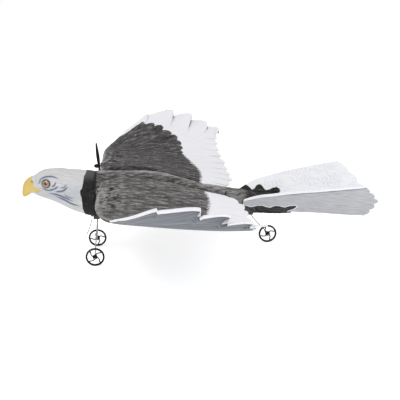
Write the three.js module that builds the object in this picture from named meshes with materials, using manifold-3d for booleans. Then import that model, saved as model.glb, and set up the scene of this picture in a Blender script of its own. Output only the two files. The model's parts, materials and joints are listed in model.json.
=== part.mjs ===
// Radio-controlled foam eagle: a twin-propeller model aeroplane shaped and painted as a bald eagle.
// Millimetres, +Z up. The beak points along -X, the left wing along -Y.
// The airframe is drawn in its own level frame and then stood nose-up on its three wheels.

import * as THREE from 'three';
import { mergeVertices } from 'three/addons/utils/BufferGeometryUtils.js';
import Module from 'manifold-3d';

const wasm = await Module();
wasm.setup();

// ---------- driving dimensions ----------

const GAP = 0.35;                 // clearance between glued or touching pieces

const NECK_SEAM = -258;           // where the head plugs onto the fuselage
const TAIL_SEAM = 62;             // where the tail unit plugs onto the boom
const BEAK_SEAM = -398;           // back face of the beak

// Body sections: x, centre height, half height, half width.
const HEAD_SECTIONS = [
  [-398, 51.2, 26.6, 24],
  [-389, 52.4, 31.6, 28],
  [-377, 52.5, 36.4, 31],
  [-356, 49, 41.5, 34.5],
  [-339, 44.5, 46, 38],
  [-320, 38, 49.5, 41],
  [-300, 33, 53, 44],
  [-280, 28.5, 55, 46.5],
  [-258, 24, 56, 48],
];
const FUSELAGE_SECTIONS = [
  [-258, 24, 56, 48],
  [-223, 21.5, 57.5, 50],
  [-174, 21, 57, 50],
  [-124, 23, 53, 46],
  [-87, 25.5, 44.5, 38],
  [-50, 27, 32, 27],
  [-20, 28, 21.5, 18],
  [4, 28, 14, 13.5],
  [30, 25.5, 12.5, 12],
  [62, 20.3, 12, 11.5],
];
const TAIL_SECTIONS = [
  [62, 20.3, 12, 11.5],
  [84, 15.5, 12.8, 12.5],
  [100, 6, 20, 15],
  [118, -6, 28, 16],
  [150, -15, 22, 13],
  [190, -26, 14, 9],
  [232, -34, 6, 5],
];

// Wing outline of the right wing: leading edge, trailing edge and tip as space curves.
const LEADING_EDGE = [
  [-246, 36, 57], [-246, 100, 59], [-246, 180, 63], [-244, 258, 67],
  [-232, 308, 70], [-213, 352, 77], [-190, 392, 92],
];
const TRAILING_EDGE = [
  [46, 9, 13], [66, 50, 18], [84, 100, 17.5], [87, 150, 18], [86, 207, 19], [86, 257, 23],
  [79, 305, 32], [76, 335, 42], [75, 355, 53], [74, 378, 66], [79, 425, 85],
];
const WING_TIP = [
  [-190, 392, 92], [-123, 446, 123.5], [-42, 467, 117.5], [14, 464, 100], [54, 445, 87], [79, 425, 85],
];
const WING_ROOT = [[-246, 36, 57], [-150, 36, 51], [-50, 22, 32], [46, 9, 13]];
const TIP_BREAK = 0.72;           // where along the span the tip starts to sweep up
const ROOT_CAMBER = 9;
const OUTER_CAMBER = -9;
const ROOT_THICKNESS = 25;
const TIP_THICKNESS = 7;
const EDGE_THICKNESS = 4.5;
const PRIMARY_FEATHERS = 6;       // teeth round the wing tip
const SECONDARY_FEATHERS = 11;    // teeth along the trailing edge
const PRIMARY_TOOTH = 15;
const PRIMARY_REACH = [0.55, 0.35, 1.14];   // direction of a tooth, rising most behind the middle
const PRIMARY_LIFT_SKEW = 1.5;
const PRIMARY_SPREAD = 0.65;      // how much farther back the last tooth reaches
const SECONDARY_TOOTH = 9;
const PRIMARY_STEPS = 2;          // grid steps across one primary feather
const SECONDARY_STEPS = 3;        // grid steps across one secondary feather

// One tail panel, right side: valley line beside the keel and free outer edge.
const TAIL_VALLEY = [
  [104, 7, -18], [180, 5.5, -29], [250, 1.6, -36], [320, 1.2, -42], [422, 1.2, -53],
];
const TAIL_OUTER = [
  [104, 44, 13], [141, 64, 28], [165, 73, 33], [215, 85, 42], [270, 99, 49], [330, 109, 56], [378, 115, 61],
];
const TAIL_NORMAL = [0, -0.68, 0.73];   // upward direction of the right panel's face
const TAIL_FEATHERS = 6;
const TAIL_TOOTH = 11;
const TAIL_FULLNESS = 32;         // how far the tail's end bows out behind its corners
const TAIL_THICKNESS = 7;
const KEEL_WEB_HALF = 0.25;       // half of the foam web left between the two panels

const SPAR_X = -150;
const SPAR_Z = 57.5;
const SPAR_RADIUS = 3;
const SPAR_BORE = 2;
const SPAR_HALF_LENGTH = 165;

const JOINER_RADIUS = 3.5;
const JOINER_LENGTH = 60;

const THRUST_Y = 121;
const THRUST_Z = 62;
const THRUST_DOWN = THREE.MathUtils.degToRad(5);
const HUB_X = -253;
const PROP_RADIUS = 62.5;
const PROP_CHORD = 12.5;
const MOTOR_RADIUS = 7.4;
const POD_RADIUS = 9;
const POD_LENGTH = 30;
const SPINNER_RADIUS = 5.4;
const SPINNER_BACK = 4.8;         // from the hub's middle forward to the spinner's flat back
const MOTOR_LENGTH = 20;
const MOTOR_FRONT = 4.4;          // from the hub's middle back to the motor
const POD_FRONT = 7;
const SHAFT_RADIUS = 1.5;

const WHEEL_RADIUS = 23.2;
const WHEEL_RIM = 4.2;
const WHEEL_WIDTH = 6;
const WHEEL_HUB = 5.6;
const SPOKES = 4;
const SPOKE_WIDTH = 2.4;
const SPOKE_SWAY = 3.8;           // sideways swing of an S-shaped spoke
const SPOKE_TURN = 0.6;
const WIRE_RADIUS = 1.25;
const RUNNING_CLEARANCE = 0.06;
const AXLE_X = -262;
const AXLE_Z = -117;
const TRACK_HALF = 66;
const TAIL_AXLE_X = 173.5;
const TAIL_AXLE_Z = -95;
// Nose-up angle on the wheels.
const STANCE = Math.atan2(TAIL_AXLE_Z - AXLE_Z, TAIL_AXLE_X - AXLE_X);

const KEEPER_RADIUS = 3;
const GROMMET_RADIUS = 3;
const ANTENNA_RADIUS = 0.8;
const LEAD_RADIUS = 1.4;
const LEAD_CHANNEL_RADIUS = 2.4;

const BOX_X = [-228, -116];
const BOX_Y = 24;
const BOX_Z = [-38, -8];
const BOX_WALL = 1.8;
const HATCH_X = [-224, -140];
const HATCH_Y = 20;
const HATCH_THICKNESS = 2.2;
const HINGE_X = -137;
const HINGE_RADIUS = 2.2;
const HINGE_PIN_RADIUS = 0.8;

// ---------- materials ----------

function paint(color, roughness, metalness = 0) {
  return new THREE.MeshStandardMaterial({ color, roughness, metalness });
}

const FEATHER_GREY = paint(0x5d5856, 0.9);
const FEATHER_WHITE = paint(0xe2e4e8, 0.85);
const BEAK_YELLOW = paint(0xe6c33f, 0.5);
const EYE_BROWN = paint(0xb28a4a, 0.2);
const BLACK_PLASTIC = paint(0x161617, 0.45);
const STEEL_WIRE = paint(0x8b8d90, 0.35, 0.9);
const MOTOR_METAL = paint(0x46484c, 0.4, 0.8);
const CARBON = paint(0x1f2023, 0.5, 0.2);
const CIRCUIT_GREEN = paint(0x1f5a3a, 0.6);
const BATTERY_BLUE = paint(0x27508c, 0.5);
const CABLE_GREY = paint(0x8e9092, 0.6);

// ---------- mesh helpers ----------

function signedVolume(positions, index) {
  const a = new THREE.Vector3();
  const b = new THREE.Vector3();
  const c = new THREE.Vector3();
  let volume = 0;
  for (let i = 0; i < index.length; i += 3) {
    a.fromArray(positions, 3 * index[i]);
    b.fromArray(positions, 3 * index[i + 1]);
    c.fromArray(positions, 3 * index[i + 2]);
    volume += a.dot(b.cross(c)) / 6;
  }
  return volume;
}

function closedGeometry(points, index) {
  const positions = points.flatMap((p) => [p.x, p.y, p.z]);
  if (signedVolume(positions, index) < 0) {
    for (let i = 0; i < index.length; i += 3) {
      [index[i + 1], index[i + 2]] = [index[i + 2], index[i + 1]];
    }
  }
  const geometry = new THREE.BufferGeometry();
  geometry.setAttribute('position', new THREE.Float32BufferAttribute(positions, 3));
  geometry.setIndex(index);
  return geometry;
}

// Skins a row of closed loops of equal length and closes both ends with a fan.
function loft(loops) {
  const count = loops[0].length;
  const points = loops.flat();
  const index = [];
  for (let j = 0; j + 1 < loops.length; j += 1) {
    for (let i = 0; i < count; i += 1) {
      const a = j * count + i;
      const b = j * count + ((i + 1) % count);
      index.push(a, b, b + count, a, b + count, a + count);
    }
  }
  const ends = [[loops[0], 0, true], [loops.at(-1), (loops.length - 1) * count, false]];
  for (const [loop, start, flip] of ends) {
    const centre = loop.reduce((sum, p) => sum.add(p), new THREE.Vector3()).divideScalar(count);
    const hub = points.push(centre) - 1;
    for (let i = 0; i < count; i += 1) {
      const a = start + i;
      const b = start + ((i + 1) % count);
      index.push(...(flip ? [hub, b, a] : [hub, a, b]));
    }
  }
  return closedGeometry(points, index);
}

// Closes two grids of points (top and bottom of a thin panel) into one solid.
function panel(top, bottom) {
  const rows = top.length;
  const columns = top[0].length;
  const points = [...top.flat(), ...bottom.flat()];
  const shift = rows * columns;
  const at = (j, i) => j * columns + i;
  const index = [];
  for (let j = 0; j + 1 < rows; j += 1) {
    for (let i = 0; i + 1 < columns; i += 1) {
      const [a, b, c, d] = [at(j, i), at(j, i + 1), at(j + 1, i + 1), at(j + 1, i)];
      index.push(a, b, c, a, c, d);
      index.push(shift + a, shift + c, shift + b, shift + a, shift + d, shift + c);
    }
  }
  const rim = [];
  for (let i = 0; i + 1 < columns; i += 1) rim.push(at(0, i));
  for (let j = 0; j + 1 < rows; j += 1) rim.push(at(j, columns - 1));
  for (let i = columns - 1; i > 0; i -= 1) rim.push(at(rows - 1, i));
  for (let j = rows - 1; j > 0; j -= 1) rim.push(at(j, 0));
  rim.forEach((a, k) => {
    const b = rim[(k + 1) % rim.length];
    index.push(b, a, shift + a, b, shift + a, shift + b);
  });
  return closedGeometry(points, index);
}

function solid(geometry) {
  const bare = geometry.clone();
  for (const name of Object.keys(bare.attributes)) {
    if (name !== 'position') bare.deleteAttribute(name);
  }
  const merged = mergeVertices(bare, 1e-4);
  return new wasm.Manifold(new wasm.Mesh({
    numProp: 3,
    vertProperties: new Float32Array(merged.attributes.position.array),
    triVerts: new Uint32Array(merged.index.array),
  }));
}

function fromSolid(manifold) {
  const mesh = manifold.getMesh();
  const geometry = new THREE.BufferGeometry();
  geometry.setAttribute('position', new THREE.BufferAttribute(mesh.vertProperties, 3));
  geometry.setIndex(new THREE.BufferAttribute(mesh.triVerts, 1));
  return geometry;
}

function cut(geometry, ...tools) {
  return fromSolid(tools.reduce((body, tool) => body.subtract(solid(tool)), solid(geometry)));
}

function join(...pieces) {
  return fromSolid(pieces.map(solid).reduce((body, piece) => body.add(piece)));
}

function keep(geometry, region) {
  return fromSolid(solid(geometry).intersect(solid(region)));
}

function box(low, high) {
  const geometry = new THREE.BoxGeometry(high[0] - low[0], high[1] - low[1], high[2] - low[2]);
  return geometry.translate((low[0] + high[0]) / 2, (low[1] + high[1]) / 2, (low[2] + high[2]) / 2);
}

// A cylinder lying along an axis, centred on a point.
function rod(radius, length, centre, axis = 'y', sides = 16) {
  const geometry = new THREE.CylinderGeometry(radius, radius, length, sides);
  if (axis === 'x') geometry.rotateZ(Math.PI / 2);
  if (axis === 'z') geometry.rotateX(Math.PI / 2);
  return geometry.translate(...centre);
}

// Radius of a faceted bore whose flats clear a shaft of the given radius.
function boreRadius(shaftRadius, sides) {
  return (shaftRadius + RUNNING_CLEARANCE) / Math.cos(Math.PI / sides);
}

function circleShape(radius, sides) {
  const corners = [];
  for (let i = 0; i < sides; i += 1) {
    const angle = (2 * Math.PI * i) / sides;
    corners.push(new THREE.Vector2(radius * Math.cos(angle), radius * Math.sin(angle)));
  }
  return new THREE.Shape(corners);
}

function tube(points, radius, sides, steps) {
  const outline = circleShape(radius, sides);
  return new THREE.ExtrudeGeometry(outline, { extrudePath: curve(points), steps, curveSegments: 1 });
}

function mirrored(geometry) {
  const flipped = fromSolid(solid(geometry)).scale(1, -1, 1);
  const index = flipped.index.array;
  for (let i = 0; i < index.length; i += 3) {
    [index[i + 1], index[i + 2]] = [index[i + 2], index[i + 1]];
  }
  return flipped;
}

// ---------- body ----------

// A rounded section: an ellipse, a little fuller than a true one at its shoulders.
function bodyLoop([x, z, halfHeight, halfWidth], sides = 20) {
  const fullness = 0.94;
  const loop = [];
  for (let i = 0; i < sides; i += 1) {
    const angle = (2 * Math.PI * (i + 0.5)) / sides;
    const c = Math.cos(angle);
    const s = Math.sin(angle);
    const y = halfWidth * Math.sign(c) * Math.abs(c) ** fullness;
    loop.push(new THREE.Vector3(x, y, z + halfHeight * Math.sign(s) * Math.abs(s) ** fullness));
  }
  return loop;
}

function bodyLoft(sections, sides) {
  return loft(sections.map((section) => bodyLoop(section, sides)));
}

function curve(points) {
  const knots = points.map((p) => new THREE.Vector3(...p));
  return new THREE.CatmullRomCurve3(knots, false, 'centripetal');
}

// A feather edge: each tooth steps out of a notch to its tip, then falls back slowly to the next notch.
function tooth(step, steps) {
  return steps === 2 ? step % 2 : [0, 1, 0.72][step % 3];
}

// Fills the four edge curves of a panel with a smooth grid of points (a Coons patch).
// endPull says how strongly the end edge's own shape is felt at a place along the span.
function coonsGrid(inner, outer, start, end, endPull = (v) => v) {
  const rows = inner.length;
  const columns = start.length;
  return inner.map((low, j) => {
    const v = j / (rows - 1);
    return start.map((first, i) => {
      const u = i / (columns - 1);
      const chordAt = (k) => inner.at(k).clone().lerp(outer.at(k), u);
      const p = chordAt(j);
      p.addScaledVector(first.clone().sub(chordAt(0)), 1 - v);
      return p.addScaledVector(end[i].clone().sub(chordAt(-1)), endPull(v));
    });
  });
}

function sample(path, count) {
  return path.getSpacedPoints(count - 1);
}

function wingGeometry(grow = 0) {
  const rows = SECONDARY_FEATHERS * SECONDARY_STEPS + 1;
  const columns = PRIMARY_FEATHERS * PRIMARY_STEPS + 1;
  const leading = sample(curve(LEADING_EDGE), rows);
  const trailing = sample(curve(TRAILING_EDGE), rows);
  const root = sample(curve(WING_ROOT), columns);
  const tip = sample(curve(WING_TIP), columns);
  for (let i = 1; i < columns - 1; i += 1) {
    const reach = new THREE.Vector3(...PRIMARY_REACH);
    const share = i / (columns - 1);
    reach.x += PRIMARY_SPREAD * share;
    reach.z *= Math.sin(Math.PI * share ** PRIMARY_LIFT_SKEW);
    tip[i].addScaledVector(reach, PRIMARY_TOOTH * tooth(i, PRIMARY_STEPS));
  }
  for (let j = 2; j < rows - 2; j += 1) {
    trailing[j].x += SECONDARY_TOOTH * tooth(j, SECONDARY_STEPS);
  }
  for (const p of leading) p.x -= grow;
  for (const p of trailing) p.x += grow;
  const endPull = (v) => Math.max(0, (v - TIP_BREAK) / (1 - TIP_BREAK)) ** 1.2;
  const middle = coonsGrid(leading, trailing, root, tip, endPull);
  const shell = (side) => middle.map((row, j) => row.map((p, i) => {
    const v = j / (rows - 1);
    const u = i / (columns - 1);
    const profile = Math.sqrt(u) * (1 - u) * 2.6;
    const full = THREE.MathUtils.lerp(ROOT_THICKNESS, TIP_THICKNESS, v);
    const half = (EDGE_THICKNESS + (full - EDGE_THICKNESS) * profile) / 2 + grow;
    const outward = THREE.MathUtils.smoothstep(v, 0, 0.8);
    const camber = THREE.MathUtils.lerp(ROOT_CAMBER, OUTER_CAMBER, outward) * Math.min(1, 5 * (1 - v));
    return new THREE.Vector3(p.x, p.y, p.z + camber * profile + side * half);
  }));
  return panel(shell(1), shell(-1));
}

function tailGeometry(grow = 0) {
  const rows = 9;
  const columns = TAIL_FEATHERS * SECONDARY_STEPS + 1;
  const valley = sample(curve(TAIL_VALLEY), rows);
  const outer = sample(curve(TAIL_OUTER), rows);
  for (const p of valley) p.y -= grow;
  const across = [];
  const end = [];
  for (let i = 0; i < columns; i += 1) {
    const u = i / (columns - 1);
    across.push(valley[0].clone().lerp(outer[0], u));
    const p = valley.at(-1).clone().lerp(outer.at(-1), u);
    p.x += TAIL_FULLNESS * Math.sin(Math.PI * u) ** 0.8;
    if (i > 0 && i < columns - 1) p.x += TAIL_TOOTH * (tooth(i, SECONDARY_STEPS) - 0.6);
    end.push(p);
  }
  const middle = coonsGrid(valley, outer, across, end);
  const normal = new THREE.Vector3(...TAIL_NORMAL);
  const shell = (side) => middle.map((row, j) => row.map((p, i) => {
    const edge = Math.min(1, 3 * Math.min(1 - i / (columns - 1), 1 - j / (rows - 1)) + 0.45);
    const half = (TAIL_THICKNESS * edge) / 2 + grow;
    const q = p.clone().addScaledVector(normal, side * half);
    q.y = Math.max(q.y, grow > 0 ? KEEL_WEB_HALF : KEEL_WEB_HALF + 2 * GAP);
    if (j === 0) q.x -= grow;
    return q;
  }));
  return panel(shell(1), shell(-1));
}

// ---------- rotating and bent parts ----------

function propellerGeometry() {
  const bladeSections = 7;
  const pieces = [rod(SPINNER_RADIUS, 7.8, [-0.6, 0, 0], 'x', 16)];
  for (const turn of [0, Math.PI]) {
    const loops = [];
    for (let k = 0; k < bladeSections; k += 1) {
      const t = k / (bladeSections - 1);
      const radius = 3 + (PROP_RADIUS - 3) * t;
      const swell = Math.sin(Math.PI * (0.12 + 0.72 * t));
      const chord = PROP_CHORD * (0.42 + 0.58 * swell) * (t > 0.95 ? 0.6 : 1);
      const thickness = 2.4 - 1.5 * t;
      const pitch = 0.95 - 0.62 * t;
      const loop = [];
      for (let i = 0; i < 8; i += 1) {
        const angle = (2 * Math.PI * i) / 8;
        const across = (chord / 2) * Math.cos(angle);
        const through = (thickness / 2) * Math.sin(angle);
        const y = across * Math.cos(pitch) - through * Math.sin(pitch);
        const x = across * Math.sin(pitch) + through * Math.cos(pitch);
        loop.push(new THREE.Vector3(x, y, radius));
      }
      loops.push(loop);
    }
    pieces.push(loft(loops).rotateX(turn));
  }
  return cut(join(...pieces), rod(boreRadius(SHAFT_RADIUS, 12), 20, [0, 0, 0], 'x', 12));
}

function spinnerGeometry() {
  const profile = [[0, 0], [1, 0], [0.95, 2.6], [0.78, 5.4], [0.46, 7.6], [0, 8.6]];
  const points = profile.map(([radius, along]) => new THREE.Vector2(radius * SPINNER_RADIUS, along));
  const cone = new THREE.LatheGeometry(points, 16);
  return cone.rotateZ(Math.PI / 2);
}

function wheelGeometry() {
  const rimSides = 32;
  const rim = circleShape(WHEEL_RADIUS, rimSides);
  rim.holes.push(new THREE.Path(circleShape(WHEEL_RADIUS - WHEEL_RIM, rimSides).getPoints()));
  const flat = { bevelEnabled: false, curveSegments: 1, steps: 1 };
  const ring = new THREE.ExtrudeGeometry(rim, { ...flat, depth: WHEEL_WIDTH });
  const pieces = [
    ring.translate(0, 0, -WHEEL_WIDTH / 2),
    rod(WHEEL_HUB, WHEEL_WIDTH + 1, [0, 0, 0], 'z', 16),
  ];
  const steps = 6;
  const start = WHEEL_HUB - 2;
  const reach = WHEEL_RADIUS - WHEEL_RIM + 1 - start;
  for (let k = 0; k < SPOKES; k += 1) {
    const near = [];
    const far = [];
    for (let i = 0; i <= steps; i += 1) {
      const t = i / steps;
      const sway = SPOKE_SWAY * Math.sin(2 * Math.PI * t);
      near.push(new THREE.Vector2(start + reach * t, sway + SPOKE_WIDTH / 2));
      far.unshift(new THREE.Vector2(start + reach * t, sway - SPOKE_WIDTH / 2));
    }
    const outline = new THREE.Shape([...near, ...far]);
    const spoke = new THREE.ExtrudeGeometry(outline, { ...flat, depth: SPOKE_WIDTH });
    pieces.push(spoke.translate(0, 0, -SPOKE_WIDTH / 2).rotateZ((2 * Math.PI * k) / SPOKES + SPOKE_TURN));
  }
  const bore = rod(boreRadius(WIRE_RADIUS, 12), 2 * WHEEL_WIDTH, [0, 0, 0], 'z', 12);
  return cut(join(...pieces), bore).rotateX(Math.PI / 2);
}

// ---------- assembly ----------

const model = new THREE.Group();
const airframe = new THREE.Group();
airframe.rotation.y = STANCE;
model.add(airframe);

function place(name, geometry, material, parent = airframe) {
  const mesh = new THREE.Mesh(geometry, material);
  mesh.name = name;
  parent.add(mesh);
  return mesh;
}

const sides = [['left', -1], ['right', 1]];
const forSide = (geometry, side) => (side > 0 ? geometry : mirrored(geometry));

// Battery box: an open tray let into the belly, with a switch seat behind the battery.
const boxOuter = box([BOX_X[0], -BOX_Y, BOX_Z[0]], [BOX_X[1], BOX_Y, BOX_Z[1]]);
const boxPocket = box(
  [BOX_X[0] - GAP, -BOX_Y - GAP, BOX_Z[0] - 20], [BOX_X[1] + GAP, BOX_Y + GAP, BOX_Z[1] + GAP]);
const batteryBay = box(
  [HATCH_X[0] + BOX_WALL, -HATCH_Y + 1, BOX_Z[0] - 1], [HATCH_X[1] - 1, HATCH_Y - 1, BOX_Z[1] - 6]);
const hatchRecess = box(
  [HATCH_X[0] - GAP, -HATCH_Y - GAP, BOX_Z[0] - 1],
  [HINGE_X + HINGE_RADIUS + GAP, HATCH_Y + GAP, BOX_Z[0] + HATCH_THICKNESS + GAP]);
const hingeWell = box(
  [HINGE_X - HINGE_RADIUS - 0.5, -HATCH_Y + 2, BOX_Z[0] - 1],
  [HINGE_X + HINGE_RADIUS + 0.5, HATCH_Y - 2, BOX_Z[0] + 2 * HINGE_RADIUS + 0.6]);
const boardSlot = box(
  [BOX_X[0] + 8, -16, BOX_Z[1] - 4.5], [HATCH_X[1] + 8, 16, BOX_Z[1] + 0.1]);
const SWITCH_X = -126;
const switchSeat = box([SWITCH_X - 6.3, -4.3, BOX_Z[0] - 1], [SWITCH_X + 6.3, 4.3, BOX_Z[0] + 6.3]);
const hingeAxisZ = BOX_Z[0] + HINGE_RADIUS + 0.2;
const pinHole = rod(boreRadius(HINGE_PIN_RADIUS, 12), 2 * BOX_Y - 2, [HINGE_X, 0, hingeAxisZ], 'y', 12);

// Wire channels from the receiver to the motors.
const leadRoute = [[-200, 13, -6], [-216, 30, 26], [-228, 60, 55], [-229, 92, 60], [-223, THRUST_Y - 1, 60.5]];
const leadChannel = tube(leadRoute, LEAD_CHANNEL_RADIUS, 8, 14);
const lead = tube(leadRoute, LEAD_RADIUS, 8, 14);

const wingRight = wingGeometry();
const wingPocket = wingGeometry(GAP);
const sparChannel = rod(SPAR_RADIUS + GAP, 2 * SPAR_HALF_LENGTH + 6, [SPAR_X, 0, SPAR_Z], 'y', 12);

function thrustLine(geometry) {
  return geometry.rotateY(-THRUST_DOWN).translate(HUB_X, THRUST_Y, THRUST_Z);
}
const podMiddle = [POD_FRONT + POD_LENGTH / 2, 0, 0];
const podSeatMiddle = [podMiddle[0] - 3, 0, 0];
const motorPod = thrustLine(rod(POD_RADIUS, POD_LENGTH, podMiddle, 'x', 16));
const motorPodSeat = thrustLine(rod(POD_RADIUS + GAP, POD_LENGTH + 6 + 2 * GAP, podSeatMiddle, 'x', 16));
const boreMiddle = [MOTOR_FRONT + 9.1, 0, 0];
const motorBore = thrustLine(rod(MOTOR_RADIUS + GAP, MOTOR_LENGTH + 6, boreMiddle, 'x', 16));

// Gear block under the neck, seated in the foam.
const blockLow = [AXLE_X - 2.5, -19, -36];
const blockHigh = [AXLE_X + 12.5, 19, -22];
const grown = (low, high, by) => box(low.map((c) => c - by), high.map((c) => c + by));
const blockSeat = grown(blockLow, blockHigh, GAP);

// Carbon peg that joins the tail unit to the boom.
const joinerAt = [TAIL_SEAM, 0, 20.3];
const joiner = rod(JOINER_RADIUS, JOINER_LENGTH, joinerAt, 'x', 12);
const joinerSeat = rod(JOINER_RADIUS + GAP, JOINER_LENGTH + 2 * GAP, joinerAt, 'x', 12);

const fuselage = cut(
  bodyLoft(FUSELAGE_SECTIONS), wingPocket, mirrored(wingPocket), boxPocket, blockSeat,
  sparChannel, leadChannel, mirrored(leadChannel), joinerSeat);
for (const [side, sign] of sides) {
  const half = sign < 0
    ? box([NECK_SEAM + GAP / 2, -80, -80], [TAIL_SEAM - GAP / 2, -GAP / 2, 120])
    : box([NECK_SEAM + GAP / 2, GAP / 2, -80], [TAIL_SEAM - GAP / 2, 80, 120]);
  place(`fuselage_${side}_half`, keep(fuselage, half), FEATHER_GREY);
}

// Head and beak.
const EYE = [-372.5, 23.5, 61];
const EYE_RADIUS = 9.6;
const eyeBall = new THREE.SphereGeometry(EYE_RADIUS, 12, 8).translate(...EYE);
const eyeSocket = new THREE.SphereGeometry(EYE_RADIUS + GAP + 0.1, 12, 8).translate(...EYE);
const ANTENNA_EXIT = [-268.5, -6, -30];
const glandSeat = rod(GROMMET_RADIUS + GAP, 16, [ANTENNA_EXIT[0], ANTENNA_EXIT[1], -24], 'z', 12);
const head = cut(bodyLoft(HEAD_SECTIONS), eyeSocket, mirrored(eyeSocket), blockSeat, glandSeat);
const headSpace = box([BEAK_SEAM + GAP / 2, -80, -80], [NECK_SEAM - GAP / 2, 80, 140]);
place('head_shell', keep(head, headSpace), FEATHER_WHITE);
for (const [side, sign] of sides) {
  place(`eye_${side}`, forSide(eyeBall, sign), EYE_BROWN);
}

// Beak sections: a point on the spine, tilt of the section plane, half height, half width.
const BEAK_SECTIONS = [
  [-398.6, 51.2, 0, 26.3, 23.2],
  [-408, 50, 3, 23, 18],
  [-417, 47.5, 8, 19.8, 13.2],
  [-424, 41, 16, 17, 10],
  [-428.5, 34, 20, 13, 8],
  [-432, 27.5, 22, 7.6, 5.4],
  [-433.6, 23.6, 24, 3, 2.2],
];
const beak = loft(BEAK_SECTIONS.map(([x, z, tilt, halfHeight, halfWidth]) => {
  const loop = bodyLoop([0, 0, halfHeight, halfWidth], 20);
  const turn = new THREE.Matrix4().makeRotationY(THREE.MathUtils.degToRad(-tilt));
  turn.setPosition(x, 0, z);
  return loop.map((p) => p.applyMatrix4(turn));
}));
place('beak', beak, BEAK_YELLOW);

// Wings on their carbon spar.
for (const [side, sign] of sides) {
  const wing = cut(wingRight, sparChannel, motorPodSeat, leadChannel);
  place(`wing_${side}`, forSide(wing, sign), FEATHER_GREY);
}
const sparShape = circleShape(SPAR_RADIUS, 12);
sparShape.holes.push(new THREE.Path(circleShape(SPAR_BORE, 12).getPoints()));
const spar = new THREE.ExtrudeGeometry(sparShape, { depth: 2 * SPAR_HALF_LENGTH, bevelEnabled: false });
spar.translate(0, 0, -SPAR_HALF_LENGTH).rotateX(Math.PI / 2).translate(SPAR_X, 0, SPAR_Z);
place('wing_spar', spar, CARBON);

// Motors, mounts, leads and propellers.
for (const [side, sign] of sides) {
  place(`motor_mount_${side}`, forSide(cut(motorPod, motorBore, leadChannel), sign), BLACK_PLASTIC);
  const can = cut(
    thrustLine(rod(MOTOR_RADIUS, MOTOR_LENGTH, [MOTOR_FRONT + MOTOR_LENGTH / 2, 0, 0], 'x', 16)),
    thrustLine(rod(boreRadius(SHAFT_RADIUS, 12), 12, [6, 0, 0], 'x', 12)));
  place(`motor_${side}`, forSide(can, sign), MOTOR_METAL);
  place(`motor_lead_${side}`, forSide(lead, sign), CABLE_GREY);
  const shaft = thrustLine(rod(SHAFT_RADIUS, 14.6, [4, 0, 0], 'x', 12));
  place(`motor_shaft_${side}`, forSide(shaft, sign), STEEL_WIRE);
  const turn = sign < 0 ? Math.PI / 2 : 0;
  const propeller = thrustLine(propellerGeometry().rotateX(turn));
  place(`propeller_${side}`, forSide(propeller, sign), BLACK_PLASTIC);
  const spinner = thrustLine(spinnerGeometry().translate(-SPINNER_BACK, 0, 0));
  place(`spinner_${side}`, forSide(spinner, sign), BLACK_PLASTIC);
}

// Landing gear: block, two sprung wire legs, wheels and push-on keepers.
const legTop = [AXLE_X + 6, 12, -26];
const legKnee = [AXLE_X + 6, 14, -40];
const legRoute = [
  legTop, legKnee, [AXLE_X + 3, 36, -79], [AXLE_X, TRACK_HALF - 10.5, AXLE_Z + 5],
  [AXLE_X, TRACK_HALF - 8, AXLE_Z + 1.2], [AXLE_X, TRACK_HALF - 6, AXLE_Z],
  [AXLE_X, TRACK_HALF - 4.5, AXLE_Z], [AXLE_X, TRACK_HALF, AXLE_Z], [AXLE_X, TRACK_HALF + 10, AXLE_Z],
];
const leg = tube(legRoute, WIRE_RADIUS, 8, 34);
const legBoreRoute = [[AXLE_X + 6, 11.8, -24.5], legTop, legKnee, [AXLE_X + 5.5, 18, -47]];
const legBore = tube(legBoreRoute, WIRE_RADIUS + 0.5, 8, 6);
place('gear_block', cut(box(blockLow, blockHigh), legBore, mirrored(legBore)), BLACK_PLASTIC);
const keeperShape = circleShape(KEEPER_RADIUS, 12);
keeperShape.holes.push(new THREE.Path(circleShape(WIRE_RADIUS + GAP, 12).getPoints()));
function keeper(x, y, z) {
  const ring = new THREE.ExtrudeGeometry(keeperShape, { depth: 2.4, bevelEnabled: false });
  return ring.rotateX(Math.PI / 2).translate(x, y, z);
}
for (const [side, sign] of sides) {
  place(`gear_leg_${side}`, forSide(leg, sign), STEEL_WIRE);
  const wheel = wheelGeometry().translate(AXLE_X, TRACK_HALF, AXLE_Z);
  place(`front_wheel_${side}`, forSide(wheel, sign), BLACK_PLASTIC);
  place(`wheel_keeper_${side}`, forSide(keeper(AXLE_X, TRACK_HALF + 6.6, AXLE_Z), sign), BLACK_PLASTIC);
}

// Battery box with its hinged hatch, pin, battery, receiver and power switch.
const batteryBox = cut(boxOuter, batteryBay, hatchRecess, hingeWell, boardSlot, switchSeat, pinHole);
place('battery_box', batteryBox, BLACK_PLASTIC);
const hatchPlate = box(
  [HATCH_X[0], -HATCH_Y, BOX_Z[0]], [HINGE_X - HINGE_RADIUS + 0.6, HATCH_Y, BOX_Z[0] + HATCH_THICKNESS]);
const hatchBarrel = rod(HINGE_RADIUS, 2 * (HATCH_Y - 2.6), [HINGE_X, 0, hingeAxisZ], 'y', 14);
place('battery_hatch', cut(join(hatchPlate, hatchBarrel), pinHole), BLACK_PLASTIC);
const hingePin = rod(HINGE_PIN_RADIUS, 2 * BOX_Y - 5, [HINGE_X, 0, hingeAxisZ], 'y', 12);
place('hatch_hinge_pin', hingePin, STEEL_WIRE);
const cell = box(
  [HATCH_X[0] + 3, -17, BOX_Z[0] + HATCH_THICKNESS + 1.2], [HATCH_X[1] - 4, 17, BOX_Z[1] - 7]);
place('battery_pack', cell, BATTERY_BLUE);
const board = box([BOX_X[0] + 9, -15, BOX_Z[1] - 3.6], [HATCH_X[1] + 6, 15, BOX_Z[1] - 1.9]);
place('receiver_board', board, CIRCUIT_GREEN);
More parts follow.
